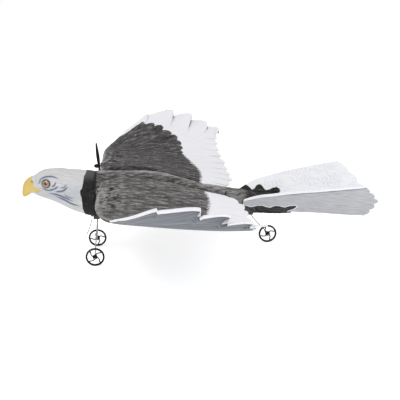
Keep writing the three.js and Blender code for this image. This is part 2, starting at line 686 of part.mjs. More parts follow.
place('power_switch_body', cut(
  box([SWITCH_X - 5.9, -3.9, BOX_Z[0] + 0.4], [SWITCH_X + 5.9, 3.9, BOX_Z[0] + 5.9]),
  box([SWITCH_X - 4, -1.7, BOX_Z[0] - 1], [SWITCH_X + 4, 1.7, BOX_Z[0] + 2.6])), BLACK_PLASTIC);
place('power_switch_slider', box(
  [SWITCH_X - 3.6, -1.3, BOX_Z[0] - 1.6], [SWITCH_X - 0.6, 1.3, BOX_Z[0] + 2.2]), CABLE_GREY);

// Aerial wire hanging from a rubber grommet behind the throat.
const grommet = rod(GROMMET_RADIUS, 9, [ANTENNA_EXIT[0], ANTENNA_EXIT[1], -27.4], 'z', 12);
place('antenna_grommet', grommet, BLACK_PLASTIC);
const ANTENNA_ROUTE = [
  [-268.5, -6, -32.3], [-268.7, -6, -35.6], [-269.2, -6, -39], [-269.9, -6.1, -42.4], [-270.8, -6.1, -46],
  [-271.8, -6.2, -49.5], [-272.8, -6.3, -53], [-273.9, -6.4, -56.5], [-275.1, -6.5, -60], [-276.4, -6.6, -63.5],
  [-277.8, -6.7, -67], [-279.3, -6.8, -70.5], [-280.9, -6.8, -74], [-282.6, -6.9, -77.4], [-284.4, -7, -80.6],
];
place('antenna_wire', tube(ANTENNA_ROUTE, ANTENNA_RADIUS, 8, 20), CABLE_GREY);

// Tail unit: keel fairing, two feathered panels and the tail wheel on its wire.
const tailRight = tailGeometry();
const tailPocket = tailGeometry(2 * GAP);
const bracketLow = [112, -5, -41];
const bracketHigh = [134, 11, -26];
const bracketSeat = grown(bracketLow, bracketHigh, GAP);
const fairing = cut(bodyLoft(TAIL_SECTIONS), tailPocket, mirrored(tailPocket), bracketSeat, joinerSeat);
const behindSeam = box([TAIL_SEAM + GAP / 2, -60, -90], [260, 60, 90]);
place('tail_keel_fairing', keep(fairing, behindSeam), FEATHER_GREY);
const bracketBoreRoute = [[122, 8, -33], [124, 8, -36], [128, 8, -42], [132, 8, -47]];
const bracketBore = tube(bracketBoreRoute, WIRE_RADIUS + 0.5, 8, 4);
place('tail_gear_bracket', cut(box(bracketLow, bracketHigh), bracketBore), BLACK_PLASTIC);
for (const [side, sign] of sides) {
  place(`tail_panel_${side}`, forSide(cut(tailRight, bracketSeat), sign), FEATHER_WHITE);
}
const tailLegRoute = [
  [124, 8, -36], [128, 8, -42], [146, 8, -65], [TAIL_AXLE_X - 3, 8, TAIL_AXLE_Z + 4],
  [TAIL_AXLE_X - 0.5, 7.4, TAIL_AXLE_Z + 0.8], [TAIL_AXLE_X, 6, TAIL_AXLE_Z],
  [TAIL_AXLE_X, 4.8, TAIL_AXLE_Z], [TAIL_AXLE_X, 0, TAIL_AXLE_Z], [TAIL_AXLE_X, -10, TAIL_AXLE_Z],
];
place('tail_joiner_peg', joiner, CARBON);
place('tail_gear_leg', tube(tailLegRoute, WIRE_RADIUS, 8, 30), STEEL_WIRE);
place('tail_wheel', wheelGeometry().translate(TAIL_AXLE_X, 0, TAIL_AXLE_Z), BLACK_PLASTIC);

// Stand the model on its wheels, with its length centred on the origin.
const extent = new THREE.Box3().setFromObject(model, true);
airframe.position.set(-(extent.min.x + extent.max.x) / 2, 0, -extent.min.z);

export default model;
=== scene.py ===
import json
import math

import bpy
import numpy as np
from mathutils import Matrix, Vector


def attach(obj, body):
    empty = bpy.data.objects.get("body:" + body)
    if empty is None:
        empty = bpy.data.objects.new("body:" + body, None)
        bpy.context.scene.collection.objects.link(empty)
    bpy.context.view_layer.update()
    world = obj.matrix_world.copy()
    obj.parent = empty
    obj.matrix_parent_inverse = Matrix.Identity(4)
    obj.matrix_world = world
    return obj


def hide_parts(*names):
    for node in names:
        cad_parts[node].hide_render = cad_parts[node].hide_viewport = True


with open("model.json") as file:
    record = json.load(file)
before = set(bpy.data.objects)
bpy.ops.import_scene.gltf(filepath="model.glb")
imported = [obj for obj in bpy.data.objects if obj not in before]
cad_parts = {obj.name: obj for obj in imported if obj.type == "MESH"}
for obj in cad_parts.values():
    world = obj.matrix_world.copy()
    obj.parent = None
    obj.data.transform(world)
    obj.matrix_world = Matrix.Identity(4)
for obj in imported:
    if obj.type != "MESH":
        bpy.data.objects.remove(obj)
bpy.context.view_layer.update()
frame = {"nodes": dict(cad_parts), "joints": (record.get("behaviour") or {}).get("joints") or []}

# A radio-controlled foam eagle. Sizes are millimetres in the aeroplane's own level frame (beak
# along -X, left wing along -Y, +Z up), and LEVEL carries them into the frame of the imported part,
# in metres.

MM = 0.001
SIDES = {"left": -1, "right": 1}
OFF = -50.0  # a paint field's value far outside the painted place

# ---------- the level frame, found from the axles ----------

joint_at = {j["name"]: Vector(j["pos_m"]) for j in frame["joints"] if "pos_m" in j}
FRONT_AXLE, TAIL_AXLE = (-262, 0, -117), (173.5, 0, -95)
front, rear = Vector(FRONT_AXLE) * MM, Vector(TAIL_AXLE) * MM
TURN = Matrix.Rotation(math.atan2(rear.z - front.z, rear.x - front.x), 4, "Y")
LEVEL = Matrix.Translation(joint_at["tail_wheel_spin"] - TURN @ rear) @ TURN
LEVEL_TURN = np.array(TURN.to_3x3())
LEVEL_SHIFT = np.array(LEVEL.translation)


def to_frame(points):
    """Points in level millimetres, as an array of frame metres."""
    return (np.asarray(points, float) * MM) @ LEVEL_TURN.T + LEVEL_SHIFT


# ---------- camera ----------

VIEW_TOWARD_FRONT = math.radians(5)
VIEW_ABOVE = math.radians(18)
VIEW_DISTANCE = 1.8125
PIXELS_PER_DISTANCE = 725 / 400
SENSOR_WIDTH = 36

sine, cosine = math.sin(VIEW_TOWARD_FRONT), math.cos(VIEW_TOWARD_FRONT)
sight = Vector((sine * math.cos(VIEW_ABOVE), cosine * math.cos(VIEW_ABOVE), -math.sin(VIEW_ABOVE)))
right = Vector((cosine, -sine, 0))
up = right.cross(sight)
camera = bpy.data.objects.new("camera", bpy.data.cameras.new("camera"))
bpy.context.scene.collection.objects.link(camera)
camera.data.sensor_width = SENSOR_WIDTH
camera.data.lens = SENSOR_WIDTH * PIXELS_PER_DISTANCE
camera.data.clip_start = 0.05
camera.data.clip_end = 50
axes = Matrix((right, up, -sight)).transposed().to_4x4()
camera.matrix_world = LEVEL @ Matrix.Translation(-sight * VIEW_DISTANCE) @ axes
bpy.context.scene.camera = camera

# ---------- materials ----------


class Look:
    """A node material built step by step; every step gives back an output socket."""

    def __init__(self, name, roughness=0.8, metallic=0.0, specular=0.3, sheen=0.0, coat=0.0):
        self.material = bpy.data.materials.new(name)
        self.material.use_nodes = True
        self.tree = self.material.node_tree
        self.shader = self.tree.nodes["Principled BSDF"]
        self.shader.inputs["Roughness"].default_value = roughness
        self.shader.inputs["Metallic"].default_value = metallic
        self.shader.inputs["Specular IOR Level"].default_value = specular
        self.shader.inputs["Sheen Weight"].default_value = sheen
        self.shader.inputs["Coat Weight"].default_value = coat

    def node(self, kind, values=None, **properties):
        node = self.tree.nodes.new(kind)
        for key, value in properties.items():
            setattr(node, key, value)
        for key, value in (values or {}).items():
            self.put(node.inputs[key], value)
        return node

    def put(self, socket, value):
        if isinstance(value, bpy.types.NodeSocket):
            self.tree.links.new(value, socket)
        else:
            socket.default_value = value

    def place(self):
        return self.node("ShaderNodeTexCoord").outputs["Object"]

    def attribute(self, name, output="Fac"):
        return self.node("ShaderNodeAttribute", attribute_name=name).outputs[output]

    def stretched(self, vector, scale):
        return self.node("ShaderNodeMapping", {"Vector": vector, "Scale": scale}).outputs[0]

    def noise(self, vector, scale, detail=4.0, rough=0.55, distortion=0.0):
        values = {"Vector": vector, "Scale": scale, "Detail": detail, "Roughness": rough,
                  "Distortion": distortion}
        return self.node("ShaderNodeTexNoise", values).outputs[0]

    def strands(self, flow, along, across, detail=4.0, rough=0.55, distortion=0.0):
        """Noise drawn out along the flow of the feathers."""
        return self.noise(self.stretched(flow, (along, across, 1)), 1.0, detail, rough, distortion)

    def math(self, operation, first, second=0.0, third=0.0):
        node = self.node("ShaderNodeMath", operation=operation)
        for socket, value in zip(node.inputs, (first, second, third)):
            self.put(socket, value)
        return node.outputs[0]

    def span(self, value, low, high, to_low=0.0, to_high=1.0, smooth=True):
        values = {"Value": value, "From Min": low, "From Max": high,
                  "To Min": to_low, "To Max": to_high}
        kind = "SMOOTHSTEP" if smooth else "LINEAR"
        return self.node("ShaderNodeMapRange", values, interpolation_type=kind).outputs[0]

    def mix(self, share, first, second, blend="MIX"):
        node = self.node("ShaderNodeMix", data_type="RGBA", blend_type=blend)
        self.put(node.inputs[0], share)
        for socket, value in ((node.inputs[6], first), (node.inputs[7], second)):
            self.put(socket, value)
        return node.outputs[2]

    def scaled(self, name, share):
        return self.math("MULTIPLY", self.attribute(name), share)

    def centred(self, value, size):
        """A value of 0..1 spread over size, half of it below zero."""
        return self.math("MULTIPLY_ADD", value, size, -size / 2)

    def weighted(self, first, first_share, second, second_share):
        first = self.math("MULTIPLY", first, first_share)
        return self.math("ADD", first, self.math("MULTIPLY", second, second_share))

    def edge(self, name, ragged, share):
        """The edge of a painted field, made uneven."""
        return self.math("ADD", self.attribute(name), self.math("MULTIPLY", ragged, share))

    def over(self, value, low, high, first, second):
        """The second colour over the first where a value lies past low to high."""
        return self.mix(self.span(value, low, high), first, second)

    def color(self, value):
        self.put(self.shader.inputs["Base Color"], value)

    def finish(self, color, rough, height, strength, distance):
        self.color(color)
        self.put(self.shader.inputs["Roughness"], rough)
        values = {"Height": height, "Strength": strength, "Distance": distance}
        self.put(self.shader.inputs["Normal"], self.node("ShaderNodeBump", values).outputs[0])
        return self.material


def paint(red, green, blue):
    """An sRGB colour in 0..255 as the linear colour that a shader takes."""
    linear = []
    for value in (red, green, blue):
        v = value / 255
        linear.append(v / 12.92 if v <= 0.04045 else ((v + 0.055) / 1.055) ** 2.4)
    return (*linear, 1.0)


def foam_grain(look):
    """Fine beads of moulded foam, for the bump."""
    values = {"Vector": look.place(), "Scale": 420.0}
    return look.node("ShaderNodeTexVoronoi", values, feature="F1").outputs["Distance"]


def feather_color(look, dark, middle, light):
    """Streaky plumage: three tones along the flow of the feathers, with painted shade in the
    grooves.
    """
    flow = look.attribute("flow", "Vector")
    hairs = look.strands(flow, 0.055, 0.78, 3, 0.6, 0.25)
    fine_hairs = look.strands(flow, 0.11, 1.9, 2, 0.5)
    patches = look.strands(flow, 0.014, 0.045, 2, 0.5)
    tone = look.weighted(hairs, 0.72, fine_hairs, 0.28)
    tone = look.math("ADD", tone, look.centred(patches, 0.22))
    # The relief field darkens the grooves with painted shade.
    tone = look.math("ADD", tone, look.centred(look.attribute("relief"), 0.42))
    low = look.over(tone, 0.37, 0.49, dark, middle)
    return look.over(tone, 0.52, 0.65, low, light), tone


def plumage():
    """Painted foam plumage: fields tell where the white, the black band and the blue-grey lie."""
    look = Look("foam_plumage", roughness=0.86, specular=0.15, sheen=0.04)
    brown, tone = feather_color(look, paint(28, 27, 28), paint(70, 68, 68), paint(136, 133, 132))
    # Painted shade darkens the creases and the boom's slit.
    brown = look.mix(look.scaled("crease_shade", 0.85), brown, paint(22, 20, 20))
    flow = look.attribute("flow", "Vector")
    ragged = look.centred(look.strands(flow, 0.05, 0.35, 4, 0.6), 6.0)

    soft_white = look.strands(flow, 0.03, 0.22, 4, 0.6)
    white = look.mix(soft_white, paint(196, 197, 201), paint(217, 216, 219))
    # The line field: painted shadow under the feather ends on top; drawn lines near the rim and
    # along the quills below.
    white = look.mix(look.scaled("line", 0.8), white, paint(128, 131, 140))
    white_edge = look.math("ADD", look.attribute("white"), ragged)
    color = look.over(white_edge, -1.2, 1.2, brown, white)

    smoky = look.strands(flow, 0.010, 0.13, 4, 0.6, 0.6)
    veins = look.strands(flow, 0.008, 0.30, 2, 0.5, 0.3)
    blue = look.over(smoky, 0.3, 0.72, paint(90, 95, 103), paint(121, 123, 126))
    blue = look.mix(look.span(veins, 0.56, 0.66, 0.0, 0.75), blue, paint(62, 66, 74))
    blue = look.mix(look.scaled("line", 0.75), blue, paint(52, 56, 64))
    color = look.mix(look.span(look.attribute("under"), -1.0, 1.0), color, blue)

    band_streaks = look.noise(look.stretched(look.place(), (900, 900, 60)), 1.0, 3, 0.6)
    black = look.over(band_streaks, 0.35, 0.75, paint(16, 16, 17), paint(56, 55, 54))
    band_edge = look.edge("band", ragged, 0.35)
    color = look.over(band_edge, -0.8, 0.8, color, black)
    height = look.weighted(tone, 0.8, foam_grain(look), 0.2)
    return look.finish(color, look.span(tone, 0.3, 0.8, 0.92, 0.78), height, 0.3, 0.0008)


def simple_noise_look(name, base, shade, scale=300.0, rough=(0.4, 0.6), metallic=0.0, bump=0.15,
                      specular=0.5, coat=0.0, stretch=(1, 1, 1)):
    """Two close tones and a changing roughness, from one noise in object space."""
    look = Look(name, metallic=metallic, specular=specular, coat=coat)
    grain = look.noise(look.stretched(look.place(), stretch), scale, 5, 0.6)
    color = look.over(grain, 0.35, 0.65, paint(*shade), paint(*base))
    return look.finish(color, look.span(grain, 0.3, 0.7, *rough), grain, bump, 0.0004)


PLUMAGE = plumage()
BLACK_PLASTIC = simple_noise_look("black_plastic", (34, 34, 36), (22, 22, 23), 700, (0.38, 0.6))
TYRE_BLACK = simple_noise_look(
    "wheel_plastic", (9, 9, 10), (5, 5, 6), 500, (0.6, 0.75), specular=0.25)
PROP_BLACK = simple_noise_look(
    "propeller_plastic", (13, 13, 14), (7, 7, 8), 400, (0.62, 0.75), specular=0.25)
STEEL = simple_noise_look(
    "steel_wire", (168, 169, 172), (120, 121, 124), 1500, (0.22, 0.4), 0.9, 0.1,
    stretch=(0.2, 0.2, 1))
MOTOR_METAL = simple_noise_look("motor_can", (96, 98, 102), (70, 72, 76), 900, (0.25, 0.4), 0.9)
CARBON = simple_noise_look("carbon_tube", (44, 45, 48), (24, 25, 27), 900, (0.3, 0.5), 0.2)
BOARD_GREEN = simple_noise_look("circuit_board", (40, 104, 66), (24, 72, 46), 600, (0.3, 0.5))
WRAP_BLUE = simple_noise_look("battery_wrap", (46, 92, 158), (32, 70, 130), 250, (0.25, 0.4))
CABLE_GREY = simple_noise_look("cable_sleeve", (172, 173, 176), (150, 151, 154), 900, (0.45, 0.6))
AERIAL_GREY = simple_noise_look("aerial_sleeve", (58, 59, 62), (44, 45, 48), 900, (0.45, 0.6))
RUBBER = simple_noise_look(
    "rubber_black", (32, 32, 33), (20, 20, 21), 900, (0.65, 0.8), specular=0.2)
SWITCH_GREY = simple_noise_look("switch_slider", (196, 196, 198), (176, 176, 180), 700, (0.35, 0.5))

# ---------- mesh making ----------


def outward(points, faces):
    """The same faces, turned over if they enclose a negative volume."""
    corners = np.array([(f[0], f[k], f[k + 1]) for f in faces for k in range(1, len(f) - 1)])
    a, b, c = (np.asarray(points, float)[corners[:, k]] for k in range(3))
    volume = (a * np.cross(b, c)).sum()
    return [f[::-1] for f in faces] if volume < 0 else faces


def mesh_piece(name, points, faces, material, body="airframe", slot=None, replaces=(), fields=None):
    """A piece from level-frame points in millimetres, with its paint fields as point attributes.

    A field is a number for the whole piece or a grid of values; "flow" has a vector to a point.
    """
    mesh = bpy.data.meshes.new(name)
    faces = outward(points, [list(map(int, f)) for f in faces])
    mesh.from_pydata(to_frame(points).tolist(), [], faces)
    for key, values in (fields or {}).items():
        vector = "FLOAT_VECTOR", "vector", 3
        kind, where, size = vector if key == "flow" else ("FLOAT", "value", 1)
        values = np.resize(np.asarray(values, np.float32), len(points) * size)
        mesh.attributes.new(key, kind, "POINT").data.foreach_set(where, values)
    mesh.polygons.foreach_set("use_smooth", [True] * len(mesh.polygons))
    mesh.materials.append(material)
    mesh.update()
    piece = bpy.data.objects.new(name, mesh)
    bpy.context.scene.collection.objects.link(piece)
    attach(piece, body)
    if replaces:
        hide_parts(*replaces)
    return piece


def curve_points(points, count):
    """A smooth line through the points (centripetal Catmull-Rom), in evenly spaced steps."""
    p = np.array(points, float)
    p = np.vstack([2 * p[0] - p[1], p, 2 * p[-1] - p[-2]])
    dense = []
    steps = np.linspace(0, 1, 60, endpoint=False)[:, None]
    for k in range(1, len(p) - 2):
        p0, p1, p2, p3 = p[k - 1:k + 3]
        t01, t12, t23 = (max(np.linalg.norm(q1 - q0) ** 0.5, 1e-6)
                         for q0, q1 in ((p0, p1), (p1, p2), (p2, p3)))
        m1 = ((p1 - p0) / t01 - (p2 - p0) / (t01 + t12) + (p2 - p1) / t12) * t12
        m2 = ((p2 - p1) / t12 - (p3 - p1) / (t12 + t23) + (p3 - p2) / t23) * t12
        square = (3 * (p2 - p1) - 2 * m1 - m2) * steps ** 2
        dense.append(p1 + m1 * steps + square + (2 * (p1 - p2) + m1 + m2) * steps ** 3)
    dense = np.vstack(dense + [p[-2:-1]])
    along = np.concatenate([[0], np.cumsum(np.linalg.norm(np.diff(dense, axis=0), axis=1))])
    wanted = np.linspace(0, along[-1], count)
    return np.stack([np.interp(wanted, along, dense[:, i]) for i in range(dense.shape[1])], 1)


def smoothstep(x, low=0.0, high=1.0):
    t = np.clip((np.asarray(x, float) - low) / (high - low), 0, 1)
    return t * t * (3 - 2 * t)


def fall(x, low, high):
    """A smooth step down, from 1 at low to 0 at high."""
    return smoothstep(-x, -high, -low)


def value_noise(s, t, seed):
    """Smooth noise in 0..1 over the plane, from a seeded lattice."""
    lattice = np.random.default_rng(seed).random((256, 256))
    si, ti = np.floor(s).astype(int), np.floor(t).astype(int)
    fs, ft = s - si, t - ti
    fs, ft = fs * fs * (3 - 2 * fs), ft * ft * (3 - 2 * ft)
    corner = lambda ds, dt: lattice[(si + ds) % 256, (ti + dt) % 256]
    low = corner(0, 0) * (1 - fs) + corner(1, 0) * fs
    high = corner(0, 1) * (1 - fs) + corner(1, 1) * fs
    return low * (1 - ft) + high * ft


def streaks(s, t, length, width, seed):
    """Fine grooves of plumage along s, in 0..1."""
    wander = 2.0 * value_noise(s / 40, t / 40, seed + 1)
    coarse = value_noise(s / length, t / width + wander, seed + 2)
    fine = value_noise(2.3 * s / length, 2.1 * t / width + wander, seed + 3)
    return 0.62 * coarse + 0.38 * fine


def shingles(s, t, row, width, seed):
    """The height, in 0..1, of overlapping feathers that point along +s."""
    height = np.zeros_like(s)
    covered = np.zeros(s.shape, bool)
    first = np.floor(s / row).astype(int)
    for back in (2, 1, 0):
        k = first - back
        offset = np.where(k % 2 == 0, 0.0, 0.5)
        lane = np.floor(t / width + offset)
        across = (t / width + offset - lane - 0.5) * 2
        jitter = value_noise(lane * 1.7 + 0.5, k * 1.3 + 0.5, seed) - 0.5
        tip = (k + 2.0 + 0.5 * jitter) * row - 0.75 * row * np.abs(across) ** 2.4
        inside = (s < tip) & ~covered
        reach = np.clip((tip - s) / (1.6 * row), 0, 1)
        body = (1 - reach) * (1 - 0.25 * across ** 2) + 0.12 * np.exp(-(across / 0.12) ** 2)
        height = np.where(inside, body, height)
        covered |= inside
    return height


def polygon_depth(x, z, corners):
    """How far each point lies inside a closed outline; negative outside."""
    p = np.stack([x, z], -1)
    nearest = np.full(x.shape, 1e9)
    inside = np.zeros(x.shape, bool)
    loop = np.array(corners, float)
    for q0, q1 in zip(loop, np.roll(loop, -1, axis=0)):
        edge = q1 - q0
        along = np.clip(((p - q0) @ edge) / (edge @ edge), 0, 1)
        nearest = np.minimum(nearest, np.linalg.norm(p - q0 - along[..., None] * edge, axis=-1))
        crosses = (q0[1] > z) != (q1[1] > z)
        rise = np.where(abs(q1[1] - q0[1]) < 1e-9, 1e-9, q1[1] - q0[1])
        inside ^= crosses & (x < (q1[0] - q0[0]) * (z - q0[1]) / rise + q0[0])
    return np.where(inside, nearest, -nearest)


def line_distance(x, z, points):
    """Distance from each point to a smooth stroke, and the place along it in 0..1."""
    p = np.stack([x, z], -1)
    line = curve_points(points, 24)
    nearest = np.full(x.shape, 1e9)
    where = np.zeros(x.shape)
    for k, (q0, q1) in enumerate(zip(line[:-1], line[1:])):
        edge = q1 - q0
        along = np.clip(((p - q0) @ edge) / max(edge @ edge, 1e-9), 0, 1)
        distance = np.linalg.norm(p - q0 - along[..., None] * edge, axis=-1)
        closer = distance < nearest
        nearest = np.where(closer, distance, nearest)
        where = np.where(closer, (k + along) / (len(line) - 1), where)
    return nearest, where


def grid_faces(rows, columns, start=0, closed=False):
    """Quads of a grid whose points are numbered row by row."""
    j, i = np.mgrid[:rows - 1, :columns if closed else columns - 1].reshape(2, -1)
    k = (i + 1) % columns
    near, far = j * columns + start, (j + 1) * columns + start
    return np.stack([near + i, near + k, far + k, far + i], 1)


def tube_faces(rows, columns):
    """Faces of a tube made of closed rows, with a cap on each end."""
    first, last = range(columns), range((rows - 1) * columns, rows * columns)
    return [*grid_faces(rows, columns, closed=True), first[::-1], last]


def joined(parts):
    """Points and faces of several closed bodies, as one."""
    points, faces, count = [], [], 0
    for part_points, part_faces in parts:
        points.append(np.asarray(part_points, float))
        faces.extend([[int(i) + count for i in f] for f in part_faces])
        count += len(part_points)
    return np.vstack(points), faces


def flow_field(s, t):
    """The place along and across the feathers, as one vector to a point."""
    return np.stack(np.broadcast_arrays(s, t, 0 * s), -1).reshape(-1, 3)


def closed_panel(top, bottom):
    """Points and faces of a thin solid between two grids."""
    rows, columns = top.shape[:2]
    count = rows * columns
    points = np.vstack([top.reshape(-1, 3), bottom.reshape(-1, 3)])
    upper = grid_faces(rows, columns)
    lower = grid_faces(rows, columns, count)[:, ::-1]
    rim = [(0, i) for i in range(columns - 1)] + [(j, columns - 1) for j in range(rows - 1)]
    rim += [(rows - 1, i) for i in range(columns - 1, 0, -1)]
    rim += [(j, 0) for j in range(rows - 1, 0, -1)]
    ring = np.array([j * columns + i for j, i in rim])
    after = np.roll(ring, -1)
    side = np.stack([after, ring, ring + count, after + count], 1)
    return points, np.vstack([upper, lower, side])


def panel_piece(name, points, faces, material, replaced, slot, flow, fields, shape):
    """A piece from closed_panel; each field is a pair, for the upper and for the lower grid."""
    fields = {key: np.concatenate([np.broadcast_to(part, shape).ravel() for part in parts])
              for key, parts in fields.items()}
    mesh_piece(name, points, faces, material, replaces=[replaced], slot=slot,
               fields={"flow": np.vstack([flow, flow]), **fields})


# ---------- aerial wire ----------

ANTENNA_ROUTE = [
    (-268.5, -6, -32.3), (-268.7, -6, -35.6), (-269.2, -6, -39), (-269.9, -6.1, -42.4),
    (-270.8, -6.1, -46), (-271.8, -6.2, -49.5), (-272.8, -6.3, -53), (-273.9, -6.4, -56.5),
    (-275.1, -6.5, -60), (-276.4, -6.6, -63.5), (-277.8, -6.7, -67), (-279.3, -6.8, -70.5),
    (-280.9, -6.8, -74), (-282.6, -6.9, -77.4), (-284.4, -7, -80.6),
]
ANTENNA_RADIUS = 0.8


def wire_tube(name, route, radius, material, sides=16, steps=90, **options):
    """A closed round wire along a smooth line through the route's points."""
    line = curve_points(route, steps)
    tangent = np.gradient(line, axis=0)
    tangent /= np.linalg.norm(tangent, axis=1)[:, None]
    normal = np.cross(tangent[0], (0, 0, 1) if abs(tangent[0][2]) < 0.9 else (1, 0, 0))
    angles = np.linspace(0, 2 * math.pi, sides, endpoint=False)
    rings = []
    for p, t in zip(line, tangent):
        normal = normal - t * (normal @ t)
        normal /= np.linalg.norm(normal)
        other = np.cross(t, normal)
        around = np.cos(angles)[:, None] * normal + np.sin(angles)[:, None] * other
        rings.append(p + radius * around)
    return mesh_piece(name, np.vstack(rings), tube_faces(steps, sides), material, **options), line


antenna, antenna_line = wire_tube(
    "antenna_wire_sleeve", ANTENNA_ROUTE, ANTENNA_RADIUS, AERIAL_GREY, steps=60,
    replaces=["antenna_wire"], slot="antenna_sleeve")

# ---------- body ----------

NECK_SEAM = -258
TAIL_SEAM = 62
BEAK_SEAM = -398
GAP = 0.35
SEAM_GAP = 0.1

# Sections: x, centre height, half height, half width.
HEAD_SECTIONS = [
    (-398, 51.2, 26.6, 24), (-389, 52.4, 31.6, 28), (-377, 52.5, 36.4, 31), (-356, 49, 41.5, 34.5),
    (-339, 44.5, 46, 38), (-320, 38, 49.5, 41), (-300, 33, 53, 44), (-280, 28.5, 55, 46.5),
    (-258, 24, 56, 48),
]
FUSELAGE_SECTIONS = [
    (-258, 24, 56, 48), (-223, 21.5, 57.5, 50), (-174, 21, 57, 50), (-124, 23, 53, 46),
    (-87, 25.5, 44.5, 38), (-50, 27, 32, 27), (-20, 28, 21.5, 18), (4, 28, 14, 13.5),
    (30, 25.5, 12.5, 12), (62, 20.3, 12, 11.5),
]
TAIL_SECTIONS = [
    (62, 20.3, 12, 11.5), (84, 15.5, 12.8, 12.5), (100, 6, 20, 15), (118, -6, 28, 16),
    (150, -15, 22, 13), (190, -26, 14, 9), (232, -34, 6, 5),
]
FULLNESS = 0.94


def body_grid(sections, stations, angles):
    """Points of a rounded body, its outward normals, and the lengths along and around it."""
    line = curve_points([(x, z, 0) for x, z, _, _ in sections], 400)
    shape = curve_points([(x, h, w) for x, _, h, w in sections], 400)
    x = stations[:, None]
    z = np.interp(x, line[:, 0], line[:, 1])
    high = np.interp(x, shape[:, 0], shape[:, 1])
    wide = np.interp(x, shape[:, 0], shape[:, 2])
    c, s = np.cos(angles)[None, :], np.sin(angles)[None, :]
    y = wide * np.sign(c) * np.abs(c) ** FULLNESS
    up = high * np.sign(s) * np.abs(s) ** FULLNESS
    points = np.stack([np.broadcast_to(x, y.shape), y, z + up], -1)
    along = np.gradient(points, axis=0)
    around = np.gradient(points, axis=1)
    normal = np.cross(along, around)
    normal /= np.maximum(np.linalg.norm(normal, axis=-1, keepdims=True), 1e-9)
    centre = np.stack([points[..., 0], np.zeros_like(y), np.broadcast_to(z, y.shape)], -1)
    normal *= np.sign(((points - centre) * normal).sum(-1, keepdims=True))
    girth = (high + wide) / 2 * angles[None, :]
    return points, normal, points[..., 0], girth


def plumage_relief(s, t, seed, row=26, width=19, scales=1.4, grooves=1.1):
    """Carved plumage: its height in millimetres, and its tone in 0..1: streaks, with painted shade
    in the grooves.
    """
    scale = shingles(s, t, row, width, seed)
    groove = streaks(s, t, 19, 1.7, seed)
    height = scales * scale + grooves * (groove - 0.5)
    tone = 0.30 * scale + 0.55 * groove + 0.08
    return height, np.clip(tone, 0, 1)


NECK_BAND = [
    (-276, 90), (-277, 83), (-282, 76), (-284, 63), (-287, 51), (-292, 45), (-291, 35), (-289, 30),
    (-288, 15), (-288, 2), (-286, -10), (-284, -24), (-281, -30), (-276, -27), (-270, -36),
    (-262, -33), (-254, -44), (-240, -50), (-240, 90),
]


def body_fields(s, t, tone, band=OFF, crease_shade=0.0):
    """The paint fields of a plumed body without any white or blue-grey."""
    return {"flow": flow_field(s, t), "relief": tone, "white": OFF, "under": OFF, "band": band,
            "crease_shade": crease_shade}


NECK_BLACK_END = -252.5
RIDGE_WIDTH, RIDGE_HIGHLIGHT, BOOM_LIGHTER = 9.0, 0.25, 0.17
SLIT_DEPTH = 1.0


def tail_slit(points):
    """The open slit low on each side of the boom, where the tail unit plugs in."""
    low_side = fall(points[..., 2], 19, 24) * smoothstep(np.abs(points[..., 1]), 2, 5)
    return np.exp(-((points[..., 0] - TAIL_SEAM) / 2.6) ** 2) * low_side


def foam_half(name, sections, low, high, sign, replaces, slot, seed):
    """One half of the body: closed from the top seam to the bottom seam, flat on the inside."""
    stations = np.linspace(low + GAP / 2, high - GAP / 2, round((high - low) / 1.9))
    angles = np.linspace(math.pi / 2, -math.pi / 2, 92)
    points, normal, s, t = body_grid(sections, stations, angles)
    relief, tone = plumage_relief(s, t, seed)
    fade = smoothstep(s, low, low + 6) * fall(s, high - 4, high)
    relief = relief * fade - SLIT_DEPTH * tail_slit(points)
    points = points + normal * relief[..., None]
    points[..., 1] = np.maximum(points[..., 1], SEAM_GAP / 2)
    # A painted highlight along the top ridge of the body, where the light falls.
    ridge = np.exp(-(points[..., 1] / RIDGE_WIDTH) ** 2) * smoothstep(points[..., 2], 0, 12)
    tone = np.clip(tone + RIDGE_HIGHLIGHT * ridge + BOOM_LIGHTER * smoothstep(s, -20, 40), 0, 1)
    rows, columns = points.shape[:2]
    first, last = range(columns), range((rows - 1) * columns, rows * columns)
    faces = [*grid_faces(rows, columns, closed=True), first, last[::-1]]
    # The slit is darkened with painted shade as well as dented.
    fields = body_fields(s, t, tone, NECK_BLACK_END - s, tail_slit(points))
    return mesh_piece(name, points.reshape(-1, 3) * (1, sign, 1), faces, PLUMAGE, slot=slot,
                      replaces=replaces, fields=fields)


def cut_pocket(piece, low, high):
    """Cuts a box, given in level millimetres, out of a piece."""
    xs, ys, zs = zip(low, high)
    corners = [(x, y, z) for x in xs for y in ys for z in zs]
    mesh = bpy.data.meshes.new("pocket")
    faces = [(0, 1, 3, 2), (4, 6, 7, 5), (0, 4, 5, 1), (2, 3, 7, 6), (0, 2, 6, 4), (1, 5, 7, 3)]
    mesh.from_pydata(to_frame(corners).tolist(), [], faces)
    tool = bpy.data.objects.new("pocket", mesh)
    bpy.context.scene.collection.objects.link(tool)
    modifier = piece.modifiers.new("pocket", "BOOLEAN")
    modifier.object = tool
    modifier.operation = "DIFFERENCE"
    modifier.solver = "EXACT"
    bpy.context.view_layer.update()
    cut = piece.evaluated_get(bpy.context.evaluated_depsgraph_get())
    made = bpy.data.meshes.new_from_object(cut)
    piece.modifiers.clear()
    piece.data = made
    bpy.data.objects.remove(tool)
    bpy.data.meshes.remove(mesh)


BATTERY_POCKET = ((-228.4, -24.4, -60), (-115.6, 24.4, -7.6))
GEAR_POCKET = ((-264.9, -19.4, -60), (-249.1, 19.4, -21.6))
for side, sign in SIDES.items():
    half = foam_half(
        f"fuselage_{side}_foam", FUSELAGE_SECTIONS, NECK_SEAM, TAIL_SEAM, sign,
        [f"fuselage_{side}_half"], "foam_body", seed=11)
    for pocket in (BATTERY_POCKET, GEAR_POCKET):
        cut_pocket(half, *pocket)

# ---------- head ----------

EYE = (-372.5, 61)
EYE_RADIUS = 9.6
HEAD_GIRTH = 48
NO_STROKE = -9.0

